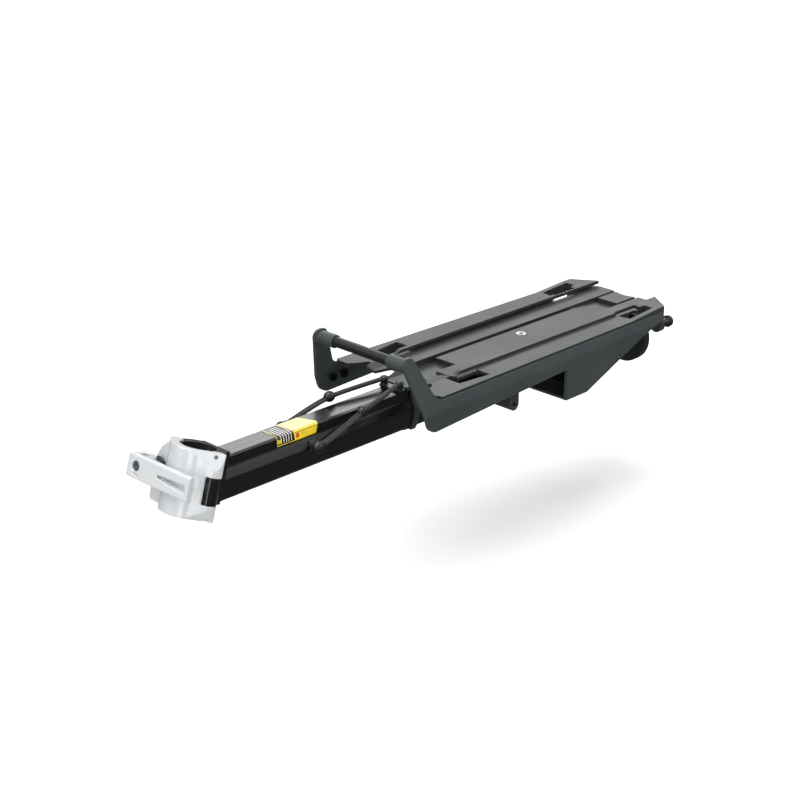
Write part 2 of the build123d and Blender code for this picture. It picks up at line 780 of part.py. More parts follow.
# side plates and hoop
# each plate is one bent strip: it leans in from the skirt's crease up to the hoop, and carries a
# cheek under the tail
skirtLine = Plane(
    origin=(deckFront, frontHalf, 0),
    x_dir=(math.sin(taper), math.cos(taper), 0),
    z_dir=(math.cos(taper), -math.sin(taper), 0),
)
creaseOut = plateLean * (wingTop - plateBendZ)
hoopOut = plateLean * (wingTop - armTopZ)
plateCorners = (
    (hoopFrontX, armTopZ, 6.5),
    (hoopFrontX + armWidth, armTopZ, 6.5),
    (skirtFrontX, skirtFrontZ, 13),
    (armRootX, wingTop - wingWall, 14),
)
sidePlates = {}
for name, side in bothSides:
    with BuildPart() as sidePlate:
        with BuildSketch(skirtLine.offset(-70)):
            with BuildLine():
                Polyline(
                    (hoopOut, armTopZ),
                    (creaseOut, plateBendZ),
                    (creaseOut, beamBottom - 3),
                    (creaseOut - plateWall, beamBottom - 3),
                    (creaseOut - plateWall, plateBendZ - 0.5),
                    (hoopOut - plateWall, armTopZ),
                    close=True,
                )
            make_face()
        extrude(amount=420)
        with BuildSketch(Plane.XZ) as plateOutline:
            with BuildLine():
                Polyline(
                    (hoopFrontX, armTopZ),
                    (skirtFrontX, skirtFrontZ),
                    (cheekFrontX, skirtRearZ),
                    (cheekFrontX, guardBottom),
                    (guardBendX, guardBottom),
                    (guardRearX, guardRearZ),
                    (deckCornerX - tailWall - 0.5, -6),
                    (deckCornerX - tailWall - 0.5, wingTop - wingWall),
                    (armRootX, wingTop - wingWall),
                    (hoopFrontX + armWidth, armTopZ),
                    close=True,
                )
            make_face()
            for cornerX, cornerZ, radius in plateCorners:
                fillet(plateOutline.vertices().sort_by_distance((cornerX, cornerZ, 0))[0], radius=radius)
        extrude(amount=100, both=True, mode=Mode.INTERSECT)
        for screwX in sideScrewX:
            with BuildSketch(Plane.XZ.offset(-plateOuter(screwX, sideScrewZ) + plateWall + 1)):
                with Locations((screwX, sideScrewZ)):
                    Circle(sideScrewRadius + 0.05)
            extrude(amount=-(plateWall - 0.2), mode=Mode.SUBTRACT)
        # relieved where the deck's front corners sit in the root of the hoop arms
        add(deckTray.part, mode=Mode.SUBTRACT)
        if side < 0:
            mirror(about=Plane.XZ, mode=Mode.REPLACE)
    sidePlate.part.label = f"{name}_side_plate"
    export_step(sidePlate.part, f"parts/{name}_side_plate.step")
    sidePlates[name] = sidePlate.part

with BuildPart() as sidePlateScrews:
    for screwX in sideScrewX:
        innerY = plateOuter(screwX, sideScrewZ) - plateWall
        with BuildSketch(Plane.XZ.offset(-innerY + 0.2)):
            with Locations((screwX, sideScrewZ)):
                Circle(sideScrewHead)
        extrude(amount=2.6)
        with BuildSketch(Plane.XZ.offset(-innerY + 2.9)):
            with Locations((screwX, sideScrewZ)):
                RegularPolygon(radius=1.9, side_count=6)
        extrude(amount=-1.5, mode=Mode.SUBTRACT)
        with BuildSketch(Plane.XZ.offset(-innerY + 0.2)):
            with Locations((screwX, sideScrewZ)):
                Circle(sideScrewRadius)
        extrude(amount=-2.0)
    mirror(about=Plane.XZ)
sidePlateScrews.part.label = "side_plate_screws"
export_step(sidePlateScrews.part, "parts/side_plate_screws.step")

with BuildPart() as tailGuard:
    with BuildSketch(Plane.XZ):
        with BuildLine():
            Polyline(
                (cheekFrontX, guardBottom),
                (guardBendX, guardBottom),
                (guardRearX, guardRearZ),
                (guardRearX - 0.8, guardRearZ + guardWall),
                (guardBendX - 0.8, guardBottom + guardWall),
                (cheekFrontX, guardBottom + guardWall),
                close=True,
            )
        make_face()
    extrude(amount=100, both=True)
    with BuildSketch(Plane.XY.offset(beamBottom - 10)):
        with BuildLine():
            Polyline(
                (cheekFrontX, 0),
                (cheekFrontX, plateOuter(cheekFrontX, guardBottom) - plateWall - 0.1),
                (guardRearX, plateOuter(guardRearX, guardBottom) - plateWall - 0.1),
                (guardRearX, 0),
            )
            mirror(about=Plane.XZ)
        make_face()
    extrude(amount=60, mode=Mode.INTERSECT)
tailGuard.part.label = "tail_guard"
export_step(tailGuard.part, "parts/tail_guard.step")

for name, side in bothSides:
    with BuildPart() as sideLug:
        with BuildSketch(Plane.XZ.offset(-lugSideInner)):
            with Locations((lugSideX, lugSideZ)):
                Circle(lugSideRadius)
        extrude(amount=-(lugSideOuter - lugSideInner))
        with BuildSketch(Plane.XZ.offset(-lugSideInner - 10)):
            with Locations((lugSideX, (lugSideZ + wingTop - wingWall) / 2)):
                Rectangle(2 * lugSideRadius, wingTop - wingWall - lugSideZ)
        extrude(amount=-(lugSideOuter - lugSideInner - 10))
        with BuildSketch(Plane.XZ.offset(-lugSideInner + 1)):
            with Locations((lugSideX, lugSideZ)):
                Circle(lugHoleRadius)
        extrude(amount=-40, mode=Mode.SUBTRACT)
        add(sidePlates["right"], mode=Mode.SUBTRACT)
        if side < 0:
            mirror(about=Plane.XZ, mode=Mode.REPLACE)
    sideLug.part.label = f"{name}_side_lug"
    export_step(sideLug.part, f"parts/{name}_side_lug.step")

with BuildPart() as crossBar:
    with BuildSketch(Plane.XZ):
        with Locations((barX, barZ)):
            Circle(barRadius)
            Circle(barRadius - 1.5, mode=Mode.SUBTRACT)
    extrude(amount=frontHalf, both=True)
    add(sidePlates["left"], mode=Mode.SUBTRACT)
    add(sidePlates["right"], mode=Mode.SUBTRACT)
    with BuildSketch(Plane.XZ):
        with Locations((barX, barZ)):
            Rectangle(40, 40)
    extrude(amount=barHalf, both=True, mode=Mode.INTERSECT)
crossBar.part.label = "cross_bar"
export_step(crossBar.part, "parts/cross_bar.step")

for name, side in bothSides:
    with BuildPart() as barSleeve:
        with BuildSketch(Plane.XZ.offset(-sleeveInner)):
            with Locations((barX, barZ)):
                Circle(sleeveRadius)
                Circle(barRadius + 0.03, mode=Mode.SUBTRACT)
        extrude(amount=-(barHalf - sleeveInner))
        chamfer(barSleeve.edges().filter_by(GeomType.CIRCLE).sort_by(Axis.Y)[0], 0.6)
        add(sidePlates["right"], mode=Mode.SUBTRACT)
        if side < 0:
            mirror(about=Plane.XZ, mode=Mode.REPLACE)
    barSleeve.part.label = f"{name}_bar_sleeve"
    export_step(barSleeve.part, f"parts/{name}_bar_sleeve.step")

# deck fixings
with BuildPart() as deckScrews:
    for screwX in deckScrewX:
        with BuildSketch(uprightAt(screwX, 0)):
            with BuildLine():
                Polyline((0, trayTop - 1.6), (1.4, trayTop - 1.6), (1.4, trayTop - 0.05), (4.6, trayTop - 0.05),
                         (2.4, trayTop - 2.4), (2.4, -20), (0, -20), close=True)
            make_face()
        revolve(axis=Axis((screwX, 0, 0), (0, 0, 1)))
deckScrews.part.label = "deck_screws"
export_step(deckScrews.part, "parts/deck_screws.step")

with BuildPart() as deckNuts:
    with BuildSketch(Plane.XY.offset(beamTop - beamWall - 4.05)):
        with Locations((deckScrewX[0], 0), (deckScrewX[1], 0)):
            RegularPolygon(radius=4.6, side_count=6)
            Circle(2.45, mode=Mode.SUBTRACT)
    extrude(amount=4.0)
deckNuts.part.label = "deck_nuts"
export_step(deckNuts.part, "parts/deck_nuts.step")

# elastic straps
# a saddle across the beam carries one post for each strap
saddleTop = beamTop + saddleThick
with BuildPart() as strapPosts:
    with BuildSketch(Plane.XY.offset(beamTop)):
        with Locations((strapPostX, 0)):
            RectangleRounded(2 * strapPostRadius, 2 * (strapPostY + strapPostRadius), 3)
    extrude(amount=saddleThick)
    with BuildSketch(Plane.XY.offset(beamTop - 5)):
        with Locations((strapPostX, saddleStudY), (strapPostX, -saddleStudY)):
            Circle(1.55)
    extrude(amount=5.5)
    for _, side in bothSides:
        with BuildSketch(uprightAt(strapPostX, side * strapPostY)):
            with BuildLine():
                Polyline((0, saddleTop - 1), (strapPostRadius - 0.5, saddleTop - 1),
                         (strapPostRadius - 1.2, saddleTop + 2.4), (strapPostRadius, saddleTop + 5.4),
                         (strapPostRadius - 0.8, saddleTop + 7.4), (strapPostRadius / 2, saddleTop + 8.5),
                         (0, saddleTop + 8.8), close=True)
            make_face()
        revolve(axis=Axis((strapPostX, side * strapPostY, 0), (0, 0, 1)))
strapPosts.part.label = "strap_posts"
export_step(strapPosts.part, "parts/strap_posts.step")

# each strap leaves its post, rides the beam's top edge to its bead and drops to its end ball
strapRoutes = {
    "left": (
        (strapPostX - strapPostRadius - 0.1, -strapPostY, -2.6),
        (213, -14.6, -6.6),
        leftBead,
        (152, -22.2, -20.4),
        leftBall,
    ),
    "right": (
        (strapPostX - strapPostRadius - 0.1, strapPostY, -1.6),
        (206, 14.0, -2.4),
        rightBead,
        (147, 21.6, -11.6),
        rightBall,
    ),
}
beadParts = []
ballParts = []
for name, route in strapRoutes.items():
    bead = Vector(*route[2])
    ball = Vector(*route[4])
    toBall = (ball - Vector(*route[3])).normalized()
    beadWay = (Vector(*route[3]) - Vector(*route[1])).normalized()
    radii = []
    for before, corner, after in zip(route, route[1:], route[2:]):
        runIn = Vector(*corner) - Vector(*before)
        runOut = Vector(*after) - Vector(*corner)
        turn = math.radians(runIn.get_angle(runOut))
        radii.append(0.45 * min(runIn.length, runOut.length) / math.tan(turn / 2))
    print(name, "strap radii", [round(radius) for radius in radii])
    end = ball - toBall * (ballRadius - 0.5)
    with BuildPart() as strap:
        with BuildLine():
            strapPath = FilletPolyline(*route[:4], (end.X, end.Y, end.Z), radius=radii)
        with BuildSketch(Plane(origin=strapPath @ 0, z_dir=strapPath % 0)):
            Circle(cordRadius)
        sweep(path=strapPath)
        with Locations(route[4]):
            Sphere(ballRadius + 0.02, mode=Mode.SUBTRACT)
    strap.part.label = f"{name}_strap"
    export_step(strap.part, f"parts/{name}_strap.step")
    print(name, "strap length", round(strapPath.length, 1), "volume", round(strap.part.volume))
    with BuildPart() as strapBead:
        with BuildSketch(Plane(origin=route[2], x_dir=beadWay, z_dir=beadWay.cross(Vector(0, 0, 1)))):
            Ellipse(beadRadius + 0.8, beadRadius)
            with Locations((0, -10)):
                Rectangle(40, 20, mode=Mode.SUBTRACT)
        revolve(axis=Axis(route[2], tuple(beadWay)))
        add(strap.part, mode=Mode.SUBTRACT)
    beadParts.append(strapBead.part)
    ballParts.append(Pos(*route[4]) * Sphere(ballRadius))

with BuildPart() as strapBeads:
    for piece in beadParts:
        add(piece)
strapBeads.part.label = "strap_beads"
export_step(strapBeads.part, "parts/strap_beads.step")

with BuildPart() as strapBalls:
    for piece in ballParts:
        add(piece)
strapBalls.part.label = "strap_balls"
export_step(strapBalls.part, "parts/strap_balls.step")

with BuildPart() as strapClips:
    for ball, side in ((leftBall, -1), (rightBall, 1)):
        with BuildSketch(Plane.YZ.offset(ball[0] - 4)):
            add(beamOutline(1.5))
            with Locations((side * 18, ball[2])):
                Rectangle(16, 9, mode=Mode.INTERSECT)
            add(beamOutline(0.05), mode=Mode.SUBTRACT)
        extrude(amount=8)
        with BuildSketch(Plane.XZ.offset(-side * 16)):
            with Locations((ball[0], ball[2])):
                Circle(2.2)
        extrude(amount=-side * 8)
    add(strapBalls.part, mode=Mode.SUBTRACT)
    with BuildSketch(Plane.YZ.offset(ball[0] - 10)):
        add(beamOutline(0.05))
    extrude(amount=20, mode=Mode.SUBTRACT)
strapClips.part.label = "strap_clips"
export_step(strapClips.part, "parts/strap_clips.step")

# tail
with BuildPart() as reflectorBracket:
    with BuildSketch(Plane.XZ):
        with BuildLine():
            Polyline(
                (deckCornerX + 0.3, trayTop - trayWall),
                (reflectorX - 12, trayTop - trayWall),
                (reflectorX - 12, reflectorZ - 9),
                (reflectorX - 15.5, reflectorZ - 9),
                (reflectorX - 15.5, trayTop - trayWall - 10),
                (deckCornerX + 0.3, trayTop - trayWall - 4),
                close=True,
            )
        make_face()
    extrude(amount=9, both=True)
    with BuildSketch(Plane.YZ.offset(reflectorX - 20)):
        with Locations((0, reflectorZ)):
            Circle(boltRadius + 0.05)
    extrude(amount=20, mode=Mode.SUBTRACT)
reflectorBracket.part.label = "reflector_bracket"
export_step(reflectorBracket.part, "parts/reflector_bracket.step")

with BuildPart() as reflectorHousing:
    with BuildSketch(Plane.XZ):
        with BuildLine():
            Polyline(
                (reflectorX - 12, reflectorZ),
                (reflectorX - 12, reflectorZ + 24),
                (reflectorX - 9, reflectorZ + reflectorRadius),
                (reflectorX, reflectorZ + reflectorRadius),
                (reflectorX, reflectorZ + reflectorRadius - 2.4),
                (reflectorX - 5, reflectorZ + reflectorRadius - 2.4),
                (reflectorX - 5, reflectorZ),
                close=True,
            )
        make_face()
    revolve(axis=Axis((0, 0, reflectorZ), (1, 0, 0)))
    with BuildSketch(Plane.YZ.offset(reflectorX - 13)):
        with Locations((0, reflectorZ)):
            Circle(boltRadius + 0.02)
    extrude(amount=20, mode=Mode.SUBTRACT)
reflectorHousing.part.label = "reflector_housing"
export_step(reflectorHousing.part, "parts/reflector_housing.step")

with BuildPart() as reflectorLens:
    with BuildSketch(Plane.XZ):
        with BuildLine():
            Polyline(
                (reflectorX - 4.9, reflectorZ),
                (reflectorX - 4.9, reflectorZ + reflectorRadius - 2.5),
                (reflectorX - 0.6, reflectorZ + reflectorRadius - 2.5),
                (reflectorX + 0.9, reflectorZ + reflectorRadius * 2 / 3),
                (reflectorX + 1.7, reflectorZ + reflectorRadius / 3),
                (reflectorX + 2, reflectorZ),
                close=True,
            )
        make_face()
    revolve(axis=Axis((0, 0, reflectorZ), (1, 0, 0)))
reflectorLens.part.label = "reflector_lens"
export_step(reflectorLens.part, "parts/reflector_lens.step")

with BuildPart() as reflectorBolt:
    with BuildSketch(Plane.YZ.offset(reflectorX - 19.5)):
        with Locations((0, reflectorZ)):
            Circle(4.3)
    extrude(amount=4)
    with BuildSketch(Plane.YZ.offset(reflectorX - 19.6)):
        with Locations((0, reflectorZ)):
            RegularPolygon(radius=2.2, side_count=6)
    extrude(amount=2.2, mode=Mode.SUBTRACT)
    with BuildSketch(Plane.YZ.offset(reflectorX - 16)):
        with Locations((0, reflectorZ)):
            Circle(boltRadius)
    extrude(amount=10.5)
reflectorBolt.part.label = "reflector_bolt"
export_step(reflectorBolt.part, "parts/reflector_bolt.step")

with BuildPart() as tailPegs:
    for _, side in bothSides:
        with BuildSketch(Plane.XY.offset(tailPegZ)):
            with BuildLine():
                Polyline(
                    (deckCornerX, side * tailPegY),
                    (deckCornerX, side * (tailPegY + tailPegRadius)),
                    (deckCornerX + 3, side * (tailPegY + tailPegRadius)),
                    (deckCornerX + 5, side * (tailPegY + 4.4)),
                    (deckCornerX + 14, side * (tailPegY + 4.4)),
                    (deckCornerX + 16, side * (tailPegY + 6.6)),
                    (deckCornerX + 20, side * (tailPegY + 6.0)),
                    (deckCornerX + 20, side * tailPegY),
                    close=True,
                )
            make_face()
        revolve(axis=Axis((0, side * tailPegY, tailPegZ), (1, 0, 0)))
tailPegs.part.label = "tail_pegs"
export_step(tailPegs.part, "parts/tail_pegs.step")
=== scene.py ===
import math

import bmesh
import bpy
from mathutils import Matrix, Vector


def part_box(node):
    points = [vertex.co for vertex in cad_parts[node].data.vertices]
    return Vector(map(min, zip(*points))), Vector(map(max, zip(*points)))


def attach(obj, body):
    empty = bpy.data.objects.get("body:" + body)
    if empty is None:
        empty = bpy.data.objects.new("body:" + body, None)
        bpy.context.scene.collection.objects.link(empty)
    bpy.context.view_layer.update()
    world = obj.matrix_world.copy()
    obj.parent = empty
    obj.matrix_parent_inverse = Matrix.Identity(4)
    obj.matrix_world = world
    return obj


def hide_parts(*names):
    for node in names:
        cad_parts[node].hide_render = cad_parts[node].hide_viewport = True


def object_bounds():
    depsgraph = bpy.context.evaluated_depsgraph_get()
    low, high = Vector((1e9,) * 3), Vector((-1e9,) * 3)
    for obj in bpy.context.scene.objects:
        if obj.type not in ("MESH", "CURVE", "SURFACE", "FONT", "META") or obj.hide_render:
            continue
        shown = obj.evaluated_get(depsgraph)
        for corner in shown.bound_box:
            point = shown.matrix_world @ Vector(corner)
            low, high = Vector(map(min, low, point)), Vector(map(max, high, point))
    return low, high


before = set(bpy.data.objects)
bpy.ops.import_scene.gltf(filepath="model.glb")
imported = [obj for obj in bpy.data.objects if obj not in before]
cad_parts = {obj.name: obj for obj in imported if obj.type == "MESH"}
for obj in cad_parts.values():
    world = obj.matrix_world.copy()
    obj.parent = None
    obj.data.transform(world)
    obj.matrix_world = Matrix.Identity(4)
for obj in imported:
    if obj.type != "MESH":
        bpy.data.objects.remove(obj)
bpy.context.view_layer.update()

mm = 0.001
noiseSpan = (0.3, 0.7)  # a noise texture stays mostly between these
wearAndHighlight = {"bevelSamples": 6, "patchScale": 60, "cloudScale": 14, "grainBump": 0.5,
        "rubAndHighlightFrom": 0.86, "rubAndHighlightTo": 0.995}
print("frame loaded", len(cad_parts), "nodes")


def hexColour(text, alpha=1.0):
    channels = [int(text[place:place + 2], 16) / 255 for place in (1, 3, 5)]
    linear = [share / 12.92 if share <= 0.04045 else ((share + 0.055) / 1.055) ** 2.4 for share in channels]
    return (*linear, alpha)


def addNode(tree, kind, inputs=None, **settings):
    node = tree.nodes.new(kind)
    for key, value in settings.items():
        setattr(node, key, value)
    for key, value in (inputs or {}).items():
        if isinstance(value, bpy.types.NodeSocket):
            tree.links.new(value, node.inputs[key])
        else:
            node.inputs[key].default_value = value
    return node


def newMaterial(name):
    material = bpy.data.materials.new(name)
    material.use_nodes = True
    tree = material.node_tree
    tree.nodes.clear()
    shader = addNode(tree, "ShaderNodeBsdfPrincipled")
    addNode(tree, "ShaderNodeOutputMaterial", {"Surface": shader.outputs[0]})
    place = addNode(tree, "ShaderNodeTexCoord").outputs["Object"]
    return material, tree, shader, place


def setShader(tree, shader, **values):
    for key, value in values.items():
        socket = shader.inputs[key.replace("_", " ")]
        if isinstance(value, bpy.types.NodeSocket):
            tree.links.new(value, socket)
        else:
            socket.default_value = value


def spread(tree, fac, low, high, start=0.0, end=1.0):
    return addNode(tree, "ShaderNodeMapRange", {
        "Value": fac, "From Min": start, "From Max": end, "To Min": low, "To Max": high}).outputs[0]


def mixColour(tree, fac, first, second):
    node = addNode(tree, "ShaderNodeMix", data_type="RGBA")
    for socket, value in ((node.inputs[0], fac), (node.inputs[6], first), (node.inputs[7], second)):
        if isinstance(value, bpy.types.NodeSocket):
            tree.links.new(value, socket)
        else:
            socket.default_value = value
    return node.outputs[2]


def wornAndHighlighted(tree, shader, place, edge, grain, depth, main, cloudy, rubbedAndHighlit):
    # rounded edges, a surface grain, and where two faces meet a lighter colour that is partly edge wear and
    # partly a painted highlight
    soft = addNode(tree, "ShaderNodeBevel", {"Radius": edge}, samples=wearAndHighlight["bevelSamples"])
    sharp = addNode(tree, "ShaderNodeNewGeometry").outputs["Normal"]
    turn = addNode(tree, "ShaderNodeVectorMath", {0: soft.outputs[0], 1: sharp},
                   operation="DOT_PRODUCT").outputs["Value"]
    patch = addNode(tree, "ShaderNodeTexNoise", {
        "Vector": place, "Scale": wearAndHighlight["patchScale"], "Detail": 4}).outputs[0]
    rubAndHighlight = addNode(tree, "ShaderNodeMath", {
        0: spread(tree, turn, 1.0, 0.0, wearAndHighlight["rubAndHighlightFrom"], wearAndHighlight["rubAndHighlightTo"]),
        1: spread(tree, patch, 0.1, 0.9, 0.35, 0.65)}, operation="MULTIPLY", use_clamp=True).outputs[0]
    fine = addNode(tree, "ShaderNodeTexNoise", {
        "Vector": place, "Scale": 1 / grain, "Detail": 3, "Roughness": 0.6}).outputs[0]
    bump = addNode(tree, "ShaderNodeBump", {
        "Strength": wearAndHighlight["grainBump"], "Distance": depth, "Height": fine, "Normal": soft.outputs[0]})
    tree.links.new(bump.outputs[0], shader.inputs["Normal"])
    cloud = addNode(tree, "ShaderNodeTexNoise", {
        "Vector": place, "Scale": wearAndHighlight["cloudScale"], "Detail": 5}).outputs[0]
    mottled = mixColour(tree, spread(tree, cloud, 0.0, 1.0, *noiseSpan), hexColour(main), hexColour(cloudy))
    # the edges are painted lighter: partly wear, partly a painted highlight
    tree.links.new(mixColour(tree, rubAndHighlight, mottled, hexColour(rubbedAndHighlit)), shader.inputs["Base Color"])
    return {"fine": fine, "cloud": cloud}


def drawnBlackAluminium():
    # extruded aluminium, polished and black anodised: mirror-like, with hairline die marks along its length
    material, tree, shader, place = newMaterial("drawnBlackAluminium")
    wornAndHighlighted(tree, shader, place, edge=0.5 * mm, grain=0.5 * mm, depth=0.008 * mm,
         main="#070708", cloudy="#0c0c0e", rubbedAndHighlit="#232428")
    stretched = addNode(tree, "ShaderNodeMapping", {"Vector": place, "Scale": (6, 900, 900)}).outputs[0]
    hair = addNode(tree, "ShaderNodeTexNoise", {"Vector": stretched, "Scale": 1, "Detail": 3}).outputs[0]
    setShader(tree, shader, Roughness=spread(tree, hair, 0.22, 0.36, *noiseSpan),
              Coat_Weight=0.3, Coat_Roughness=0.1)
    return material


def sparkNylon():
    # glass-filled nylon from a spark-eroded mould: fine even grain, a dry sheen at low angles
    material, tree, shader, place = newMaterial("sparkNylon")
    marks = wornAndHighlighted(tree, shader, place, edge=0.6 * mm, grain=0.7 * mm, depth=0.05 * mm,
                 main="#1c2021", cloudy="#232728", rubbedAndHighlit="#515657")
    setShader(tree, shader, Roughness=spread(tree, marks["cloud"], 0.40, 0.50, *noiseSpan),
              IOR=1.53, Sheen_Weight=0.08)
    return material


def satinNylon():
    # nylon from a bead-blasted mould: smoother than the deck, softly clouded by flow
    material, tree, shader, place = newMaterial("satinNylon")
    marks = wornAndHighlighted(tree, shader, place, edge=0.8 * mm, grain=1.1 * mm, depth=0.02 * mm,
                 main="#303637", cloudy="#373d3e", rubbedAndHighlit="#5a6062")
    setShader(tree, shader, Roughness=spread(tree, marks["cloud"], 0.34, 0.44, *noiseSpan), IOR=1.53)
    return material


def silverLacquer():
    # die-cast aluminium under silver lacquer: pale, satin, with metal flake and slight orange peel
    material, tree, shader, place = newMaterial("silverLacquer")
    wornAndHighlighted(tree, shader, place, edge=1.9 * mm, grain=1.6 * mm, depth=0.02 * mm,
         main="#d6d9da", cloudy="#dddfe0", rubbedAndHighlit="#ececec")
    flake = addNode(tree, "ShaderNodeTexVoronoi", {
        "Vector": place, "Scale": 1 / (0.5 * mm)}).outputs["Color"]
    glint = addNode(tree, "ShaderNodeSeparateXYZ", {0: flake}).outputs[0]
    setShader(tree, shader, Metallic=0.35, Roughness=spread(tree, glint, 0.30, 0.40),
              Coat_Weight=0.4, Coat_Roughness=0.18)
    return material


def blackLacquer():
    # die-cast aluminium under gloss black lacquer: wet highlights over a faint orange peel
    material, tree, shader, place = newMaterial("blackLacquer")
    marks = wornAndHighlighted(tree, shader, place, edge=0.9 * mm, grain=1.8 * mm, depth=0.02 * mm,
                 main="#08090a", cloudy="#0d0e0f", rubbedAndHighlit="#2a2b2d")
    setShader(tree, shader, Roughness=spread(tree, marks["cloud"], 0.14, 0.24, *noiseSpan),
              Coat_Weight=0.6, Coat_Roughness=0.08)
    return material


def satinPowderCoat():
    # steel tube under satin black powder coat: tiny pebbled skin
    material, tree, shader, place = newMaterial("satinPowderCoat")
    marks = wornAndHighlighted(tree, shader, place, edge=0.4 * mm, grain=0.6 * mm, depth=0.02 * mm,
                 main="#121314", cloudy="#18191a", rubbedAndHighlit="#38393b")
    setShader(tree, shader, Roughness=spread(tree, marks["fine"], 0.30, 0.42, *noiseSpan))
    return material


def zincPlate():
    # turned steel, zinc plated: cool grey with faint turning marks and dull patches
    material, tree, shader, place = newMaterial("zincPlate")
    marks = wornAndHighlighted(tree, shader, place, edge=0.25 * mm, grain=0.4 * mm, depth=0.01 * mm,
                 main="#a9adb1", cloudy="#8f9498", rubbedAndHighlit="#d4d7da")
    setShader(tree, shader, Metallic=1.0, Roughness=spread(tree, marks["cloud"], 0.24, 0.40, *noiseSpan))
    return material


def blackOxide():
    # steel screw, hot black oxide: oily black, its corners painted lighter, partly as bare metal wear and
    # partly as a painted highlight
    material, tree, shader, place = newMaterial("blackOxide")
    marks = wornAndHighlighted(tree, shader, place, edge=0.25 * mm, grain=0.4 * mm, depth=0.01 * mm,
                 main="#17181a", cloudy="#202124", rubbedAndHighlit="#7d8084")
    setShader(tree, shader, Metallic=0.8, Roughness=spread(tree, marks["cloud"], 0.30, 0.46, *noiseSpan))
    return material


def turnedAluminium():
    # rolled aluminium eyelet: bright with rings from the setting tool
    material, tree, shader, place = newMaterial("turnedAluminium")
    wornAndHighlighted(tree, shader, place, edge=0.2 * mm, grain=0.4 * mm, depth=0.006 * mm,
         main="#c9cccd", cloudy="#b9bcbe", rubbedAndHighlit="#e2e3e3")
    low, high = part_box("track_rivet")
    centred = addNode(tree, "ShaderNodeMapping", {
        "Vector": place, "Location": tuple(-(start + end) / 2 for start, end in zip(low, high))}).outputs[0]
    rings = addNode(tree, "ShaderNodeTexWave", {
        "Vector": centred, "Scale": 1 / (1.6 * mm), "Distortion": 0.4},
        wave_type="RINGS", rings_direction="Z").outputs["Fac"]
    setShader(tree, shader, Metallic=1.0, Roughness=spread(tree, rings, 0.22, 0.36))
    return material


def turnedAcetal():
    # acetal washer: waxy black, smooth faces
    material, tree, shader, place = newMaterial("turnedAcetal")
    marks = wornAndHighlighted(tree, shader, place, edge=0.5 * mm, grain=0.5 * mm, depth=0.006 * mm,
                 main="#0b0c0c", cloudy="#111213", rubbedAndHighlit="#333536")
    setShader(tree, shader, Roughness=spread(tree, marks["cloud"], 0.24, 0.34, *noiseSpan), IOR=1.48)
    return material


def polishedNylon():
    # nylon from a polished mould: dark, with a soft round highlight and fine handling scratches
    material, tree, shader, place = newMaterial("polishedNylon")
    marks = wornAndHighlighted(tree, shader, place, edge=0.5 * mm, grain=0.8 * mm, depth=0.012 * mm,
                 main="#131415", cloudy="#1a1b1c", rubbedAndHighlit="#37393a")
    setShader(tree, shader, Roughness=spread(tree, marks["fine"], 0.24, 0.36, *noiseSpan), IOR=1.53)
    return material


def linerNylon():
    # liner of unfilled nylon: matt black, lightly scuffed by the post
    material, tree, shader, place = newMaterial("linerNylon")
    marks = wornAndHighlighted(tree, shader, place, edge=0.4 * mm, grain=0.6 * mm, depth=0.03 * mm,
                 main="#0d0e0e", cloudy="#151616", rubbedAndHighlit="#3a3b3b")
    setShader(tree, shader, Roughness=spread(tree, marks["cloud"], 0.50, 0.62, *noiseSpan), IOR=1.53)
    return material


braid = {"repeat": 1.6, "turns": 5, "depth": 0.12}


def braidedElastic():
    # rubber cord in a braided sleeve: matt black, the braid drawn at 1.6 mm so that it shows
    material, tree, shader, place = newMaterial("braidedElastic")
    along = addNode(tree, "ShaderNodeAttribute", attribute_name="along").outputs["Fac"]
    around = addNode(tree, "ShaderNodeAttribute", attribute_name="around").outputs["Fac"]
    lengthwise = addNode(tree, "ShaderNodeMath", {0: along, 1: math.tau / (braid["repeat"] * mm)},
                         operation="MULTIPLY").outputs[0]
    rise = []
    for turns in (braid["turns"], -braid["turns"]):
        wound = addNode(tree, "ShaderNodeMath", {0: around, 1: math.tau * turns, 2: lengthwise},
                        operation="MULTIPLY_ADD").outputs[0]
        rise.append(addNode(tree, "ShaderNodeMath", {0: wound}, operation="SINE").outputs[0])
    weave = addNode(tree, "ShaderNodeMath", {0: rise[0], 1: rise[1]}, operation="MAXIMUM").outputs[0]
    bump = addNode(tree, "ShaderNodeBump", {
        "Strength": 0.6, "Distance": braid["depth"] * mm, "Height": weave}).outputs[0]
    fuzz = addNode(tree, "ShaderNodeTexNoise", {"Vector": place, "Scale": 500, "Detail": 3}).outputs[0]
    # painted shade and highlight: the braid's grooves are painted darker and its crowns lighter
    height = spread(tree, weave, 0.0, 1.0, -1.0, 1.0)
    tint = mixColour(tree, height, hexColour("#0c0d0d"), hexColour("#1f2122"))
    setShader(tree, shader, Base_Color=tint, Roughness=spread(tree, fuzz, 0.45, 0.65, *noiseSpan),
              Normal=bump, Sheen_Weight=0.15)
    return material


def redAcrylic():
    # moulded acrylic reflector: clear red over a mesh of cube corners
    material, tree, shader, place = newMaterial("redAcrylic")
    cells = addNode(tree, "ShaderNodeTexVoronoi", {
        "Vector": place, "Scale": 1 / (2.4 * mm)}).outputs["Color"]
    value = addNode(tree, "ShaderNodeSeparateXYZ", {0: cells}).outputs[1]
    tint = mixColour(tree, value, hexColour("#8f0710"), hexColour("#d21420"))
    setShader(tree, shader, Base_Color=tint, Roughness=spread(tree, value, 0.06, 0.16), Coat_Weight=1.0,
              Coat_Roughness=0.04, IOR=1.49)
    return material


# inks, and sizes in mm on the flat sheet
sticker = {"yellow": "#f0cf12", "pale": "#ddd49a", "black": "#0b0b0c", "white": "#e4e5e0",
           "orange": "#c24a18", "faint": "#b9a861", "width": 53, "topEdge": 21.0, "slant": -0.12,
           "tip": 7.0, "tipAt": 18, "film": 0.15}


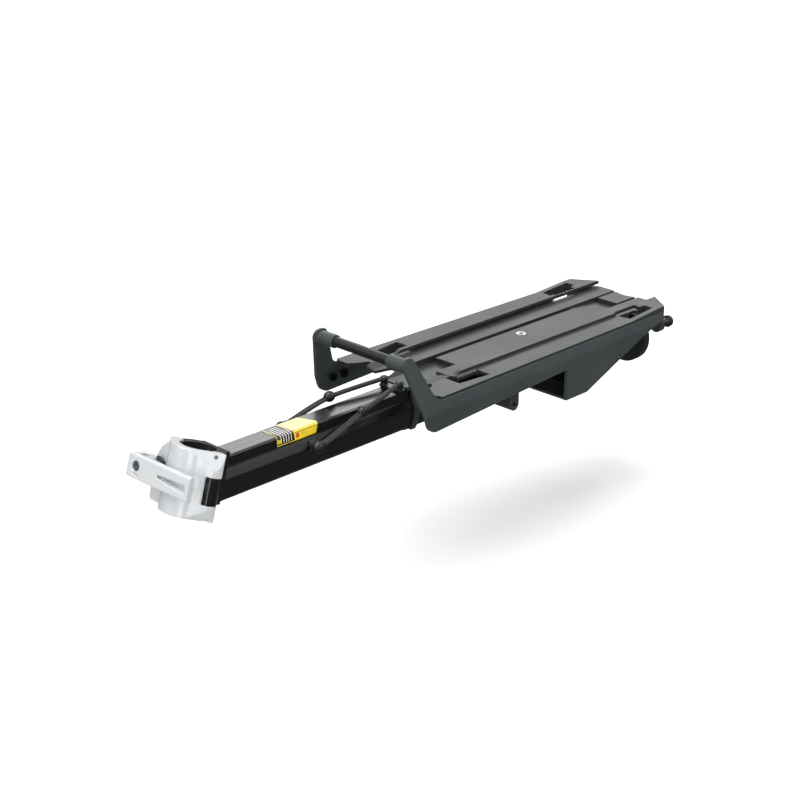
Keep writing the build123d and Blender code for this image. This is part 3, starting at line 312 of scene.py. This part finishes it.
def printedVinyl():
    # screen-printed vinyl: flat inks under a clear film, broken strokes stand in for any lettering
    material, tree, shader, place = newMaterial("printedVinyl")
    sheet = addNode(tree, "ShaderNodeUVMap", uv_map="flat").outputs[0]
    split = addNode(tree, "ShaderNodeSeparateXYZ", {0: sheet})
    along, down = split.outputs[0], split.outputs[1]
    slanted = addNode(tree, "ShaderNodeMath", {0: down, 1: sticker["slant"], 2: along},
                      operation="MULTIPLY_ADD").outputs[0]
    repeats = {}
    pitches = (("line", along, 3.1), ("stroke", down, 2.3), ("fine", down, 1.5), ("row", along, 2.4))
    for label, source, pitch in pitches:
        turns = addNode(tree, "ShaderNodeMath", {0: source, 1: pitch}, operation="DIVIDE").outputs[0]
        repeats[label] = addNode(tree, "ShaderNodeMath", {0: turns}, operation="FRACT").outputs[0]
    # each zone is a colour and the ranges, in mm or in shares of a repeat, that bound it
    zones = [
        ("yellow", [(down, sticker["topEdge"], 40)]),
        ("faint", [(slanted, 24, 44), (down, 2, sticker["topEdge"] - 1), (repeats["row"], 0.72, 1),
                   (repeats["fine"], 0.3, 1)]),
        ("orange", [(slanted, 19.0, 20.4), (down, 1, 22), (repeats["fine"], 0.25, 1)]),
        ("black", [(slanted, -4, 18.2)]),
        ("white", [(slanted, 0.8, 16.2), (down, 1.5, 29.0), (repeats["line"], 0.62, 0.95),
                   (repeats["stroke"], 0.18, 1)]),
        ("yellow", [(along, 0.5, 1.2)]),
        ("yellow", [(along, 0.5, 22), (down, 30.2, 30.9)]),
        ("yellow", [(along, 1.5, 5.5), (down, 25.0, 29.0), (repeats["fine"], 0.3, 1)]),
        ("orange", [(along, 23.5, 27.5), (down, 24.5, 29.0)]),
        ("faint", [(along, 29.5, 36.0), (down, 24.5, 28.0), (repeats["row"], 0.6, 1)]),
    ]
    colour = hexColour(sticker["pale"])
    for ink, limits in zones:
        inside = 1.0
        for value, start, end in limits:
            above = addNode(tree, "ShaderNodeMath", {
                0: value, 1: start}, operation="GREATER_THAN").outputs[0]
            below = addNode(tree, "ShaderNodeMath", {0: value, 1: end}, operation="LESS_THAN").outputs[0]
            ranged = addNode(tree, "ShaderNodeMath", {0: above, 1: below}, operation="MULTIPLY").outputs[0]
            inside = addNode(tree, "ShaderNodeMath", {
                0: ranged, 1: inside}, operation="MULTIPLY").outputs[0]
        colour = mixColour(tree, inside, colour, hexColour(sticker[ink]))
    speck = addNode(tree, "ShaderNodeTexNoise", {"Vector": place, "Scale": 700, "Detail": 2}).outputs[0]
    bump = addNode(tree, "ShaderNodeBump", {
        "Strength": 0.3, "Distance": 0.02 * mm, "Height": speck}).outputs[0]
    setShader(tree, shader, Base_Color=colour, Roughness=spread(tree, speck, 0.34, 0.48, *noiseSpan),
              Normal=bump, Coat_Weight=0.15)
    return material


finishes = {
    drawnBlackAluminium: ["beam"],
    sparkNylon: ["deck_tray", "track_plate", "beam_collar", "beam_end_plug", "left_side_lug",
                 "right_side_lug", "strap_clips", "reflector_bracket"],
    satinNylon: ["left_side_plate", "right_side_plate", "tail_guard", "left_bar_sleeve", "right_bar_sleeve"],
    silverLacquer: ["seatpost_jaw", "cam_lever"],
    blackLacquer: ["clamp_bracket"],
    satinPowderCoat: ["cross_bar"],
    zincPlate: ["hinge_pin", "pin_lock_screw", "skewer_rod", "skewer_barrel", "skewer_nut", "cam_pin",
                "adjust_screw", "deck_screws", "deck_nuts", "reflector_bolt"],
    blackOxide: ["beam_screws", "side_plate_screws"],
    turnedAluminium: ["track_rivet"],
    turnedAcetal: ["rear_cam_washer", "front_cam_washer"],
    polishedNylon: ["strap_posts", "strap_beads", "strap_balls", "tail_pegs", "reflector_housing"],
    linerNylon: ["bracket_liner", "jaw_liner"],
    braidedElastic: ["left_strap", "right_strap"],
    redAcrylic: ["reflector_lens"],
    printedVinyl: ["beam_label"],
}
finishOf = {}
for maker, nodes in finishes.items():
    made = maker()
    for node in nodes:
        finishOf[node] = made
        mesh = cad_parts[node].data
        mesh.materials.clear()
        mesh.materials.append(made)
print("materials on", len(finishOf), "nodes")
missing = [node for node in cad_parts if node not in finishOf]
print("nodes without a finish", missing)


def newPiece(name, mesh, body, node=None, standsFor=()):
    piece = bpy.data.objects.new(name, mesh)
    bpy.context.scene.collection.objects.link(piece)
    if node:
        mesh.materials.clear()
        mesh.materials.append(finishOf[node])
    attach(piece, body)
    if standsFor:
        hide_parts(*standsFor)
    return piece


def fromBmesh(name, shape):
    mesh = bpy.data.meshes.new(name)
    bmesh.ops.recalc_face_normals(shape, faces=shape.faces)
    shape.to_mesh(mesh)
    shape.free()
    return mesh


def smooth(mesh, angle=35):
    mesh.polygons.foreach_set("use_smooth", [True] * len(mesh.polygons))
    mesh.set_sharp_from_angle(angle=math.radians(angle))


def lathe(shape, profile, origin, axis, steps=48):
    # turns (along, radius) points about an axis, closing them on it at both ends
    axis = Vector(axis).normalized()
    side = axis.orthogonal().normalized()
    other = axis.cross(side)
    rings = []
    for along, radius in profile:
        centre = Vector(origin) + axis * along
        if radius < 1e-7:
            rings.append([shape.verts.new(centre)])
            continue
        rings.append([shape.verts.new(centre + (side * math.cos(turn) + other * math.sin(turn)) * radius)
                      for turn in (math.tau * step / steps for step in range(steps))])
    for first, second in zip(rings, rings[1:]):
        for step in range(steps):
            corners = [first[step % len(first)], first[(step + 1) % len(first)],
                       second[(step + 1) % len(second)], second[step % len(second)]]
            unique = list(dict.fromkeys(corners))
            if len(unique) > 2:
                shape.faces.new(unique)


def inputOf(tree, name):
    return next(item.identifier for item in tree.interface.items_tree
                if item.item_type == "SOCKET" and item.in_out == "INPUT" and item.name == name)


def newTree(name, sizes):
    tree = bpy.data.node_groups.new(name, "GeometryNodeTree")
    tree.interface.new_socket("Geometry", in_out="INPUT", socket_type="NodeSocketGeometry")
    for label, value in sizes.items():
        kind = "NodeSocketInt" if isinstance(value, int) else "NodeSocketFloat"
        socket = tree.interface.new_socket(label, in_out="INPUT", socket_type=kind)
        socket.default_value = value
    tree.interface.new_socket("Geometry", in_out="OUTPUT", socket_type="NodeSocketGeometry")
    return tree, addNode(tree, "NodeGroupInput")


def endTree(tree, geometry, material):
    real = addNode(tree, "GeometryNodeRealizeInstances", {"Geometry": geometry}).outputs[0]
    coloured = addNode(tree, "GeometryNodeSetMaterial", {"Geometry": real, "Material": material}).outputs[0]
    addNode(tree, "NodeGroupOutput", {0: coloured})


def grow(name, source, tree, sizes):
    # the mesh that a node tree makes from a source mesh
    holder = bpy.data.objects.new(name + "Source", source)
    bpy.context.scene.collection.objects.link(holder)
    modifier = holder.modifiers.new("grow", "NODES")
    modifier.node_group = tree
    for label, value in sizes.items():
        modifier[inputOf(tree, label)] = value
    ready = holder.evaluated_get(bpy.context.evaluated_depsgraph_get())
    mesh = bpy.data.meshes.new_from_object(ready)
    mesh.name = name
    holder.modifiers.remove(modifier)
    bpy.data.objects.remove(holder)
    return mesh


# straps: one round cord from post to bead, twin strands from bead to ball
strap = {"cord": 4.8, "strand": 3.5, "gap": 3.3, "samples": 90, "sides": 20,
         "bead": 5.4, "beadStretch": 1.12, "ball": 6.0, "seam": 0.12}
routes = {
    "left": [(235.5, -10.5, -2.6), (213, -14.6, -6.6), (183, -18.2, -11.6), (152, -22.2, -20.4),
             (119.5, -25.2, -27.0)],
    "right": [(235.5, 10.5, -1.6), (206, 14.0, -2.4), (173.5, 17.6, -4.0), (147, 21.6, -11.6),
              (119.0, 25.2, -22.0)],
}


def pathMesh(name, points):
    curve = bpy.data.curves.new(name, "CURVE")
    curve.dimensions = "3D"
    curve.resolution_u = 12
    spline = curve.splines.new("NURBS")
    spline.points.add(len(points) - 1)
    for point, place in zip(spline.points, points):
        point.co = (*[size * mm for size in place], 1)
    spline.order_u = 3
    spline.use_endpoint_u = True
    holder = bpy.data.objects.new(name, curve)
    bpy.context.scene.collection.objects.link(holder)
    mesh = bpy.data.meshes.new_from_object(holder.evaluated_get(bpy.context.evaluated_depsgraph_get()))
    bpy.data.objects.remove(holder)
    return mesh


def strandTree(material):
    tree, group = newTree("strands", {"Radius": 0.0024, "Spacing": 0.0, "Strands": 1})
    line = addNode(tree, "GeometryNodeMeshToCurve", {"Mesh": group.outputs["Geometry"]}).outputs[0]
    even = addNode(tree, "GeometryNodeResampleCurve", {"Curve": line, "Count": strap["samples"]}).outputs[0]
    reach = addNode(tree, "GeometryNodeSplineParameter").outputs["Length"]
    marked = addNode(tree, "GeometryNodeStoreNamedAttribute", {
        "Geometry": even, "Name": "along", "Value": reach}, data_type="FLOAT", domain="POINT").outputs[0]
    ring = addNode(tree, "GeometryNodeCurvePrimitiveCircle", {
        "Resolution": strap["sides"], "Radius": group.outputs["Radius"]}, mode="RADIUS").outputs[0]
    turn = addNode(tree, "GeometryNodeSplineParameter").outputs["Factor"]
    rounded = addNode(tree, "GeometryNodeStoreNamedAttribute", {
        "Geometry": ring, "Name": "around", "Value": turn}, data_type="FLOAT", domain="POINT").outputs[0]
    spots = addNode(tree, "GeometryNodeMeshLine", {"Count": group.outputs["Strands"]})
    # the strands stand side by side about the path
    half = addNode(tree, "ShaderNodeMath", {
        0: group.outputs["Spacing"], 1: -0.5}, operation="MULTIPLY").outputs[0]
    start = addNode(tree, "ShaderNodeCombineXYZ", {0: half}).outputs[0]
    offset = addNode(tree, "ShaderNodeCombineXYZ", {0: group.outputs["Spacing"]}).outputs[0]
    tree.links.new(start, spots.inputs["Start Location"])
    tree.links.new(offset, spots.inputs["Offset"])
    rings = addNode(tree, "GeometryNodeInstanceOnPoints", {
        "Points": spots.outputs[0], "Instance": rounded}).outputs[0]
    profile = addNode(tree, "GeometryNodeRealizeInstances", {"Geometry": rings}).outputs[0]
    tube = addNode(tree, "GeometryNodeCurveToMesh", {
        "Curve": marked, "Profile Curve": profile, "Fill Caps": True}).outputs[0]
    endTree(tree, tube, material)
    return tree


strands = strandTree(finishOf["left_strap"])
for side, route in routes.items():
    whole = pathMesh(side + "Route", route)
    points = [vertex.co.copy() for vertex in whole.vertices]
    bead = Vector(route[2]) * mm
    cut = min(range(len(points)), key=lambda place: (points[place] - bead).length)
    sections = {"Cord": (points[:cut + 1], 1), "Strands": (points[cut:], 2)}
    pieces = []
    for label, (stretch, count) in sections.items():
        line = bpy.data.meshes.new(side + label + "Line")
        links = [(place, place + 1) for place in range(len(stretch) - 1)]
        line.from_pydata([tuple(point) for point in stretch], links, [])
        width = strap["cord"] / 2 if count == 1 else strap["strand"] / 2
        spacing = 0.0 if count == 1 else strap["gap"] * mm
        mesh = grow(side + label, line, strands, {"Radius": width * mm, "Spacing": spacing, "Strands": count})
        smooth(mesh)
        piece = bpy.data.objects.new(side + label, mesh)
        bpy.context.scene.collection.objects.link(piece)
        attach(piece, "rack")
        pieces.append(piece)
    for piece in pieces:
        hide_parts(side + "_strap")
print("straps done")


def knobProfile(radius, stretch=1.0, steps=24):
    # half a circle, with a raised parting line where the mould closed
    profile = []
    for step in range(steps + 1):
        angle = math.pi * step / steps
        lift = strap["seam"] if step == steps // 2 else 0.0
        profile.append((-math.cos(angle) * radius * stretch * mm, (math.sin(angle) * radius + lift) * mm))
    return profile


# beads on the straps and balls at their ends; (along, radius) of the collar where the strands enter a ball
collar = {"start": 0.75, "profile": [(0, 0), (0, 3.9), (2.2, 3.8), (2.8, 3.3), (2.8, 0)]}
beads = bmesh.new()
balls = bmesh.new()
for side, route in routes.items():
    way = Vector(route[3]) - Vector(route[1])
    lathe(beads, knobProfile(strap["bead"], strap["beadStretch"]), Vector(route[2]) * mm, way)
    lathe(balls, knobProfile(strap["ball"]), Vector(route[4]) * mm, Vector(route[4]) - Vector(route[3]))
    out = (Vector(route[3]) - Vector(route[4])).normalized()
    start = Vector(route[4]) * mm + out * strap["ball"] * collar["start"] * mm
    lathe(balls, [(along * mm, radius * mm) for along, radius in collar["profile"]], start, out)
for name, shape, node in (("strapBeads", beads, "strap_beads"), ("strapBalls", balls, "strap_balls")):
    mesh = fromBmesh(name, shape)
    smooth(mesh, 50)
    newPiece(name, mesh, "rack", node, [node])
print("knobs done")

# sticker: wraps the beam's top and its left side, pointed at the rear
# across and height in mm, laid on the beam
wrap = [(10.4, -9.38), (-10.6, -9.38), (-12.2, -10.95), (-12.95, -18.9)]
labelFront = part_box("beam_label")[0][0]
sheetCells = {"along": 40, "across": 30}
lengths = [math.dist(start, end) for start, end in zip(wrap, wrap[1:])]


def onWrap(distance):
    for start, end, length in zip(wrap, wrap[1:], lengths):
        if distance <= length:
            return [low + (high - low) * distance / length for low, high in zip(start, end)]
        distance -= length
    return wrap[-1]


shape = bmesh.new()
flat = shape.loops.layers.uv.new("flat")
girth = sum(lengths)
grid = []
for line in range(sheetCells["across"] + 1):
    down = girth * line / sheetCells["across"]
    # the rear end comes to a blunt point
    tip = sticker["tip"] * abs(down - sticker["tipAt"]) / sticker["tipAt"]
    row = []
    for cell in range(sheetCells["along"] + 1):
        share = cell / sheetCells["along"]
        along = share * (sticker["width"] - tip)
        across, height = onWrap(down)
        row.append((shape.verts.new((labelFront + along * mm, across * mm, height * mm)), (along, down)))
    grid.append(row)
for upper, lower in zip(grid, grid[1:]):
    for cell in range(sheetCells["along"]):
        corners = [upper[cell], upper[cell + 1], lower[cell + 1], lower[cell]]
        face = shape.faces.new([corner[0] for corner in corners])
        for loop, corner in zip(face.loops, corners):
            loop[flat].uv = corner[1]
mesh = bpy.data.meshes.new("beamSticker")
shape.to_mesh(mesh)
shape.free()
piece = newPiece("beamSticker", mesh, "rack", "beam_label", ["beam_label"])
film = piece.modifiers.new("film", "SOLIDIFY")
film.thickness = sticker["film"] * mm
film.offset = 1.0
smooth(mesh, 30)
print("sticker done")

# reflector: a lens face of small raised cube corners
prism = {"pitch": 3.4, "size": 1.75, "height": 0.7, "sides": 6, "margin": 4.0, "sunk": 0.3}
lensLow, lensHigh = (Vector(corner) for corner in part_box("reflector_lens"))


def prismTree(material):
    tree, group = newTree("prisms", {
        "Pitch": 0.003, "Size": 0.0016, "Height": 0.0006, "Reach": 0.02, "Centre height": 0.0, "Face": 0.0})
    across = addNode(tree, "ShaderNodeMath", {
        0: group.outputs["Reach"], 1: 2.0}, operation="MULTIPLY").outputs[0]
    count = addNode(tree, "ShaderNodeMath", {
        0: across, 1: group.outputs["Pitch"]}, operation="DIVIDE").outputs[0]
    whole = addNode(tree, "ShaderNodeMath", {0: count}, operation="ROUND").outputs[0]
    field = addNode(tree, "GeometryNodeMeshGrid", {
        "Size X": across, "Size Y": across, "Vertices X": whole, "Vertices Y": whole}).outputs[0]
    place = addNode(tree, "GeometryNodeInputPosition").outputs[0]
    far = addNode(tree, "ShaderNodeVectorMath", {0: place}, operation="LENGTH").outputs["Value"]
    outside = addNode(tree, "FunctionNodeCompare", {0: far, 1: group.outputs["Reach"]},
                      data_type="FLOAT", operation="GREATER_THAN").outputs[0]
    kept = addNode(tree, "GeometryNodeDeleteGeometry", {"Geometry": field, "Selection": outside},
                   domain="POINT", mode="ALL").outputs[0]
    cone = addNode(tree, "GeometryNodeMeshCone", {
        "Vertices": prism["sides"], "Radius Top": 0.0, "Radius Bottom": group.outputs["Size"],
        "Depth": group.outputs["Height"]}).outputs["Mesh"]
    many = addNode(tree, "GeometryNodeInstanceOnPoints", {"Points": kept, "Instance": cone}).outputs[0]
    spot = addNode(tree, "ShaderNodeCombineXYZ", {
        0: group.outputs["Face"], 2: group.outputs["Centre height"]}).outputs[0]
    turned = addNode(tree, "GeometryNodeTransform", {
        "Geometry": many, "Translation": spot, "Rotation": (0, math.pi / 2, 0)}).outputs[0]
    endTree(tree, turned, material)
    return tree


reach = (lensHigh.z - lensLow.z) / 2 - prism["margin"] * mm
mesh = grow("lensPrisms", bpy.data.meshes.new("empty"), prismTree(finishOf["reflector_lens"]), {
    "Pitch": prism["pitch"] * mm, "Size": prism["size"] * mm, "Height": prism["height"] * mm, "Reach": reach,
    "Centre height": (lensHigh.z + lensLow.z) / 2, "Face": lensHigh.x - prism["sunk"] * mm})
newPiece("lensPrisms", mesh, "rack")
print("reflector done")

# moulded ribs under the deck's wings
rib = {"count": 9, "from": 352, "to": 520, "thick": 1.6, "inner": 49.0, "outer": 66.0, "depth": 7.0,
       "top": 0.9, "arch": 0.55}


def ribTree(material):
    tree, group = newTree("ribs", {
        "Count": 9, "Length": 0.1, "Thickness": 0.0016, "Width": 0.02, "Depth": 0.007})
    gap = addNode(tree, "ShaderNodeMath", {
        0: group.outputs["Count"], 1: 1.0}, operation="SUBTRACT").outputs[0]
    step = addNode(tree, "ShaderNodeMath", {
        0: group.outputs["Length"], 1: gap}, operation="DIVIDE").outputs[0]
    offset = addNode(tree, "ShaderNodeCombineXYZ", {0: step}).outputs[0]
    spots = addNode(tree, "GeometryNodeMeshLine", {
        "Count": group.outputs["Count"], "Offset": offset}).outputs[0]
    size = addNode(tree, "ShaderNodeCombineXYZ", {
        0: group.outputs["Thickness"], 1: group.outputs["Width"], 2: group.outputs["Depth"]}).outputs[0]
    wall = addNode(tree, "GeometryNodeMeshCube", {
        "Size": size, "Vertices X": 2, "Vertices Y": 8, "Vertices Z": 4}).outputs[0]
    rows = addNode(tree, "GeometryNodeInstanceOnPoints", {"Points": spots, "Instance": wall}).outputs[0]
    real = addNode(tree, "GeometryNodeRealizeInstances", {"Geometry": rows}).outputs[0]
    # each rib's lower edge is cut away in a shallow arch
    place = addNode(tree, "ShaderNodeSeparateXYZ", {
        0: addNode(tree, "GeometryNodeInputPosition").outputs[0]})
    halfWidth = addNode(tree, "ShaderNodeMath", {
        0: group.outputs["Width"], 1: 0.5}, operation="MULTIPLY").outputs[0]
    share = addNode(tree, "ShaderNodeMath", {
        0: place.outputs[1], 1: halfWidth}, operation="DIVIDE").outputs[0]
    squared = addNode(tree, "ShaderNodeMath", {0: share, 1: share}, operation="MULTIPLY").outputs[0]
    arch = addNode(tree, "ShaderNodeMath", {0: 1.0, 1: squared}, operation="SUBTRACT").outputs[0]
    rise = addNode(tree, "ShaderNodeMath", {
        0: arch, 1: group.outputs["Depth"]}, operation="MULTIPLY").outputs[0]
    lift = addNode(tree, "ShaderNodeMath", {0: rise, 1: rib["arch"]}, operation="MULTIPLY").outputs[0]
    low = addNode(tree, "ShaderNodeMath", {0: place.outputs[2], 1: 0.0}, operation="LESS_THAN").outputs[0]
    only = addNode(tree, "ShaderNodeMath", {0: lift, 1: low}, operation="MULTIPLY").outputs[0]
    up = addNode(tree, "ShaderNodeCombineXYZ", {2: only}).outputs[0]
    bent = addNode(tree, "GeometryNodeSetPosition", {"Geometry": real, "Offset": up}).outputs[0]
    endTree(tree, bent, material)
    return tree


ribs = ribTree(finishOf["deck_tray"])
for side, sign in (("left", -1), ("right", 1)):
    mesh = grow(side + "DeckRibs", bpy.data.meshes.new("empty"), ribs, {
        "Count": rib["count"], "Length": (rib["to"] - rib["from"]) * mm, "Thickness": rib["thick"] * mm,
        "Width": (rib["outer"] - rib["inner"]) * mm, "Depth": rib["depth"] * mm})
    mesh.transform(Matrix.Translation((rib["from"] * mm, sign * (rib["outer"] + rib["inner"]) / 2 * mm,
                                       (rib["top"] - rib["depth"] / 2) * mm)))
    newPiece(side + "DeckRibs", mesh, "rack")
print("ribs done")

# floor, light and camera; the drop and the reach are in metres
studio = {"drop": 0.12, "reach": 40.0, "paper": "#f4f4f4", "paperRoughness": 0.9,
          "air": "#fbfcff", "airLow": 0.10, "airHigh": 0.55, "airFrom": -0.1, "airTo": 0.5}
low = Vector(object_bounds()[0])
floorMesh = bpy.data.meshes.new("floor")
corners = [(across * studio["reach"], along * studio["reach"], low.z - studio["drop"])
           for across, along in ((-1, -1), (1, -1), (1, 1), (-1, 1))]
floorMesh.from_pydata(corners, [], [(0, 1, 2, 3)])
floor = bpy.data.objects.new("floor", floorMesh)
bpy.context.scene.collection.objects.link(floor)
paper = bpy.data.materials.new("studioPaper")
paper.use_nodes = True
paperShader = paper.node_tree.nodes["Principled BSDF"]
paperShader.inputs["Base Color"].default_value = hexColour(studio["paper"])
paperShader.inputs["Roughness"].default_value = studio["paperRoughness"]
floorMesh.materials.append(paper)
floor.visible_glossy = False  # polished walls don't mirror the paper

# the surroundings darken below the horizon, so that polished walls stay deep
world = bpy.data.worlds.new("studio")
world.use_nodes = True
air = world.node_tree
heading = addNode(air, "ShaderNodeSeparateXYZ", {0: addNode(air, "ShaderNodeTexCoord").outputs["Generated"]})
glow = spread(air, heading.outputs[2], studio["airLow"], studio["airHigh"],
              studio["airFrom"], studio["airTo"])
air.links.new(glow, air.nodes["Background"].inputs["Strength"])
air.nodes["Background"].inputs["Color"].default_value = hexColour(studio["air"])
bpy.context.scene.world = world

lights = {
    "overhead": {"kind": "SUN", "at": (-0.30, 0.10, 1.0), "to": (0, 0, 0),
             "power": 2.3, "angle": 55},
    "behind": {"kind": "AREA", "at": (1.6, 1.5, 1.0), "to": (0.3, 0, 0),
             "size": (2.4, 0.8), "power": 15},
    "ledge": {"kind": "AREA", "at": (1.15, -0.85, 0.85), "to": (0.2, 0, -0.02),
             "size": (0.9, 0.5), "power": 7},
    "side": {"kind": "AREA", "at": (-1.2, 0.5, 0.7), "to": (0.05, 0, -0.02),
             "size": (0.5, 0.9), "power": 5},
    "leftStrip": {"kind": "AREA", "at": (-1.1, -0.45, 0.25), "to": (0, 0, -0.02),
             "size": (0.1, 0.8), "power": 1.6},
    "rightStrip": {"kind": "AREA", "at": (-0.2, -1.3, 0.25), "to": (0, 0, -0.02),
             "size": (0.1, 0.8), "power": 1.6},
}
for name, facts in lights.items():
    data = bpy.data.lights.new(name, facts["kind"])
    data.energy = facts["power"]
    if facts["kind"] == "SUN":
        data.angle = math.radians(facts["angle"])
    else:
        data.shape = "RECTANGLE"
        data.size, data.size_y = facts["size"]
    lamp = bpy.data.objects.new(name, data)
    bpy.context.scene.collection.objects.link(lamp)
    lamp.location = facts["at"]
    lamp.rotation_euler = (Vector(facts["to"]) - Vector(facts["at"])).to_track_quat("-Z", "Y").to_euler()

view = {"from": (-0.9038, -1.1533, 0.6354), "look": (0.656, 0.655, -0.375), "lens": 80.9, "sensor": 36}
data = bpy.data.cameras.new("camera")
data.lens = view["lens"]
data.sensor_width = view["sensor"]
camera = bpy.data.objects.new("camera", data)
bpy.context.scene.collection.objects.link(camera)
camera.location = view["from"]
camera.rotation_euler = Vector(view["look"]).to_track_quat("-Z", "Y").to_euler()
bpy.context.scene.camera = camera
bpy.context.scene.view_settings.view_transform = "Standard"
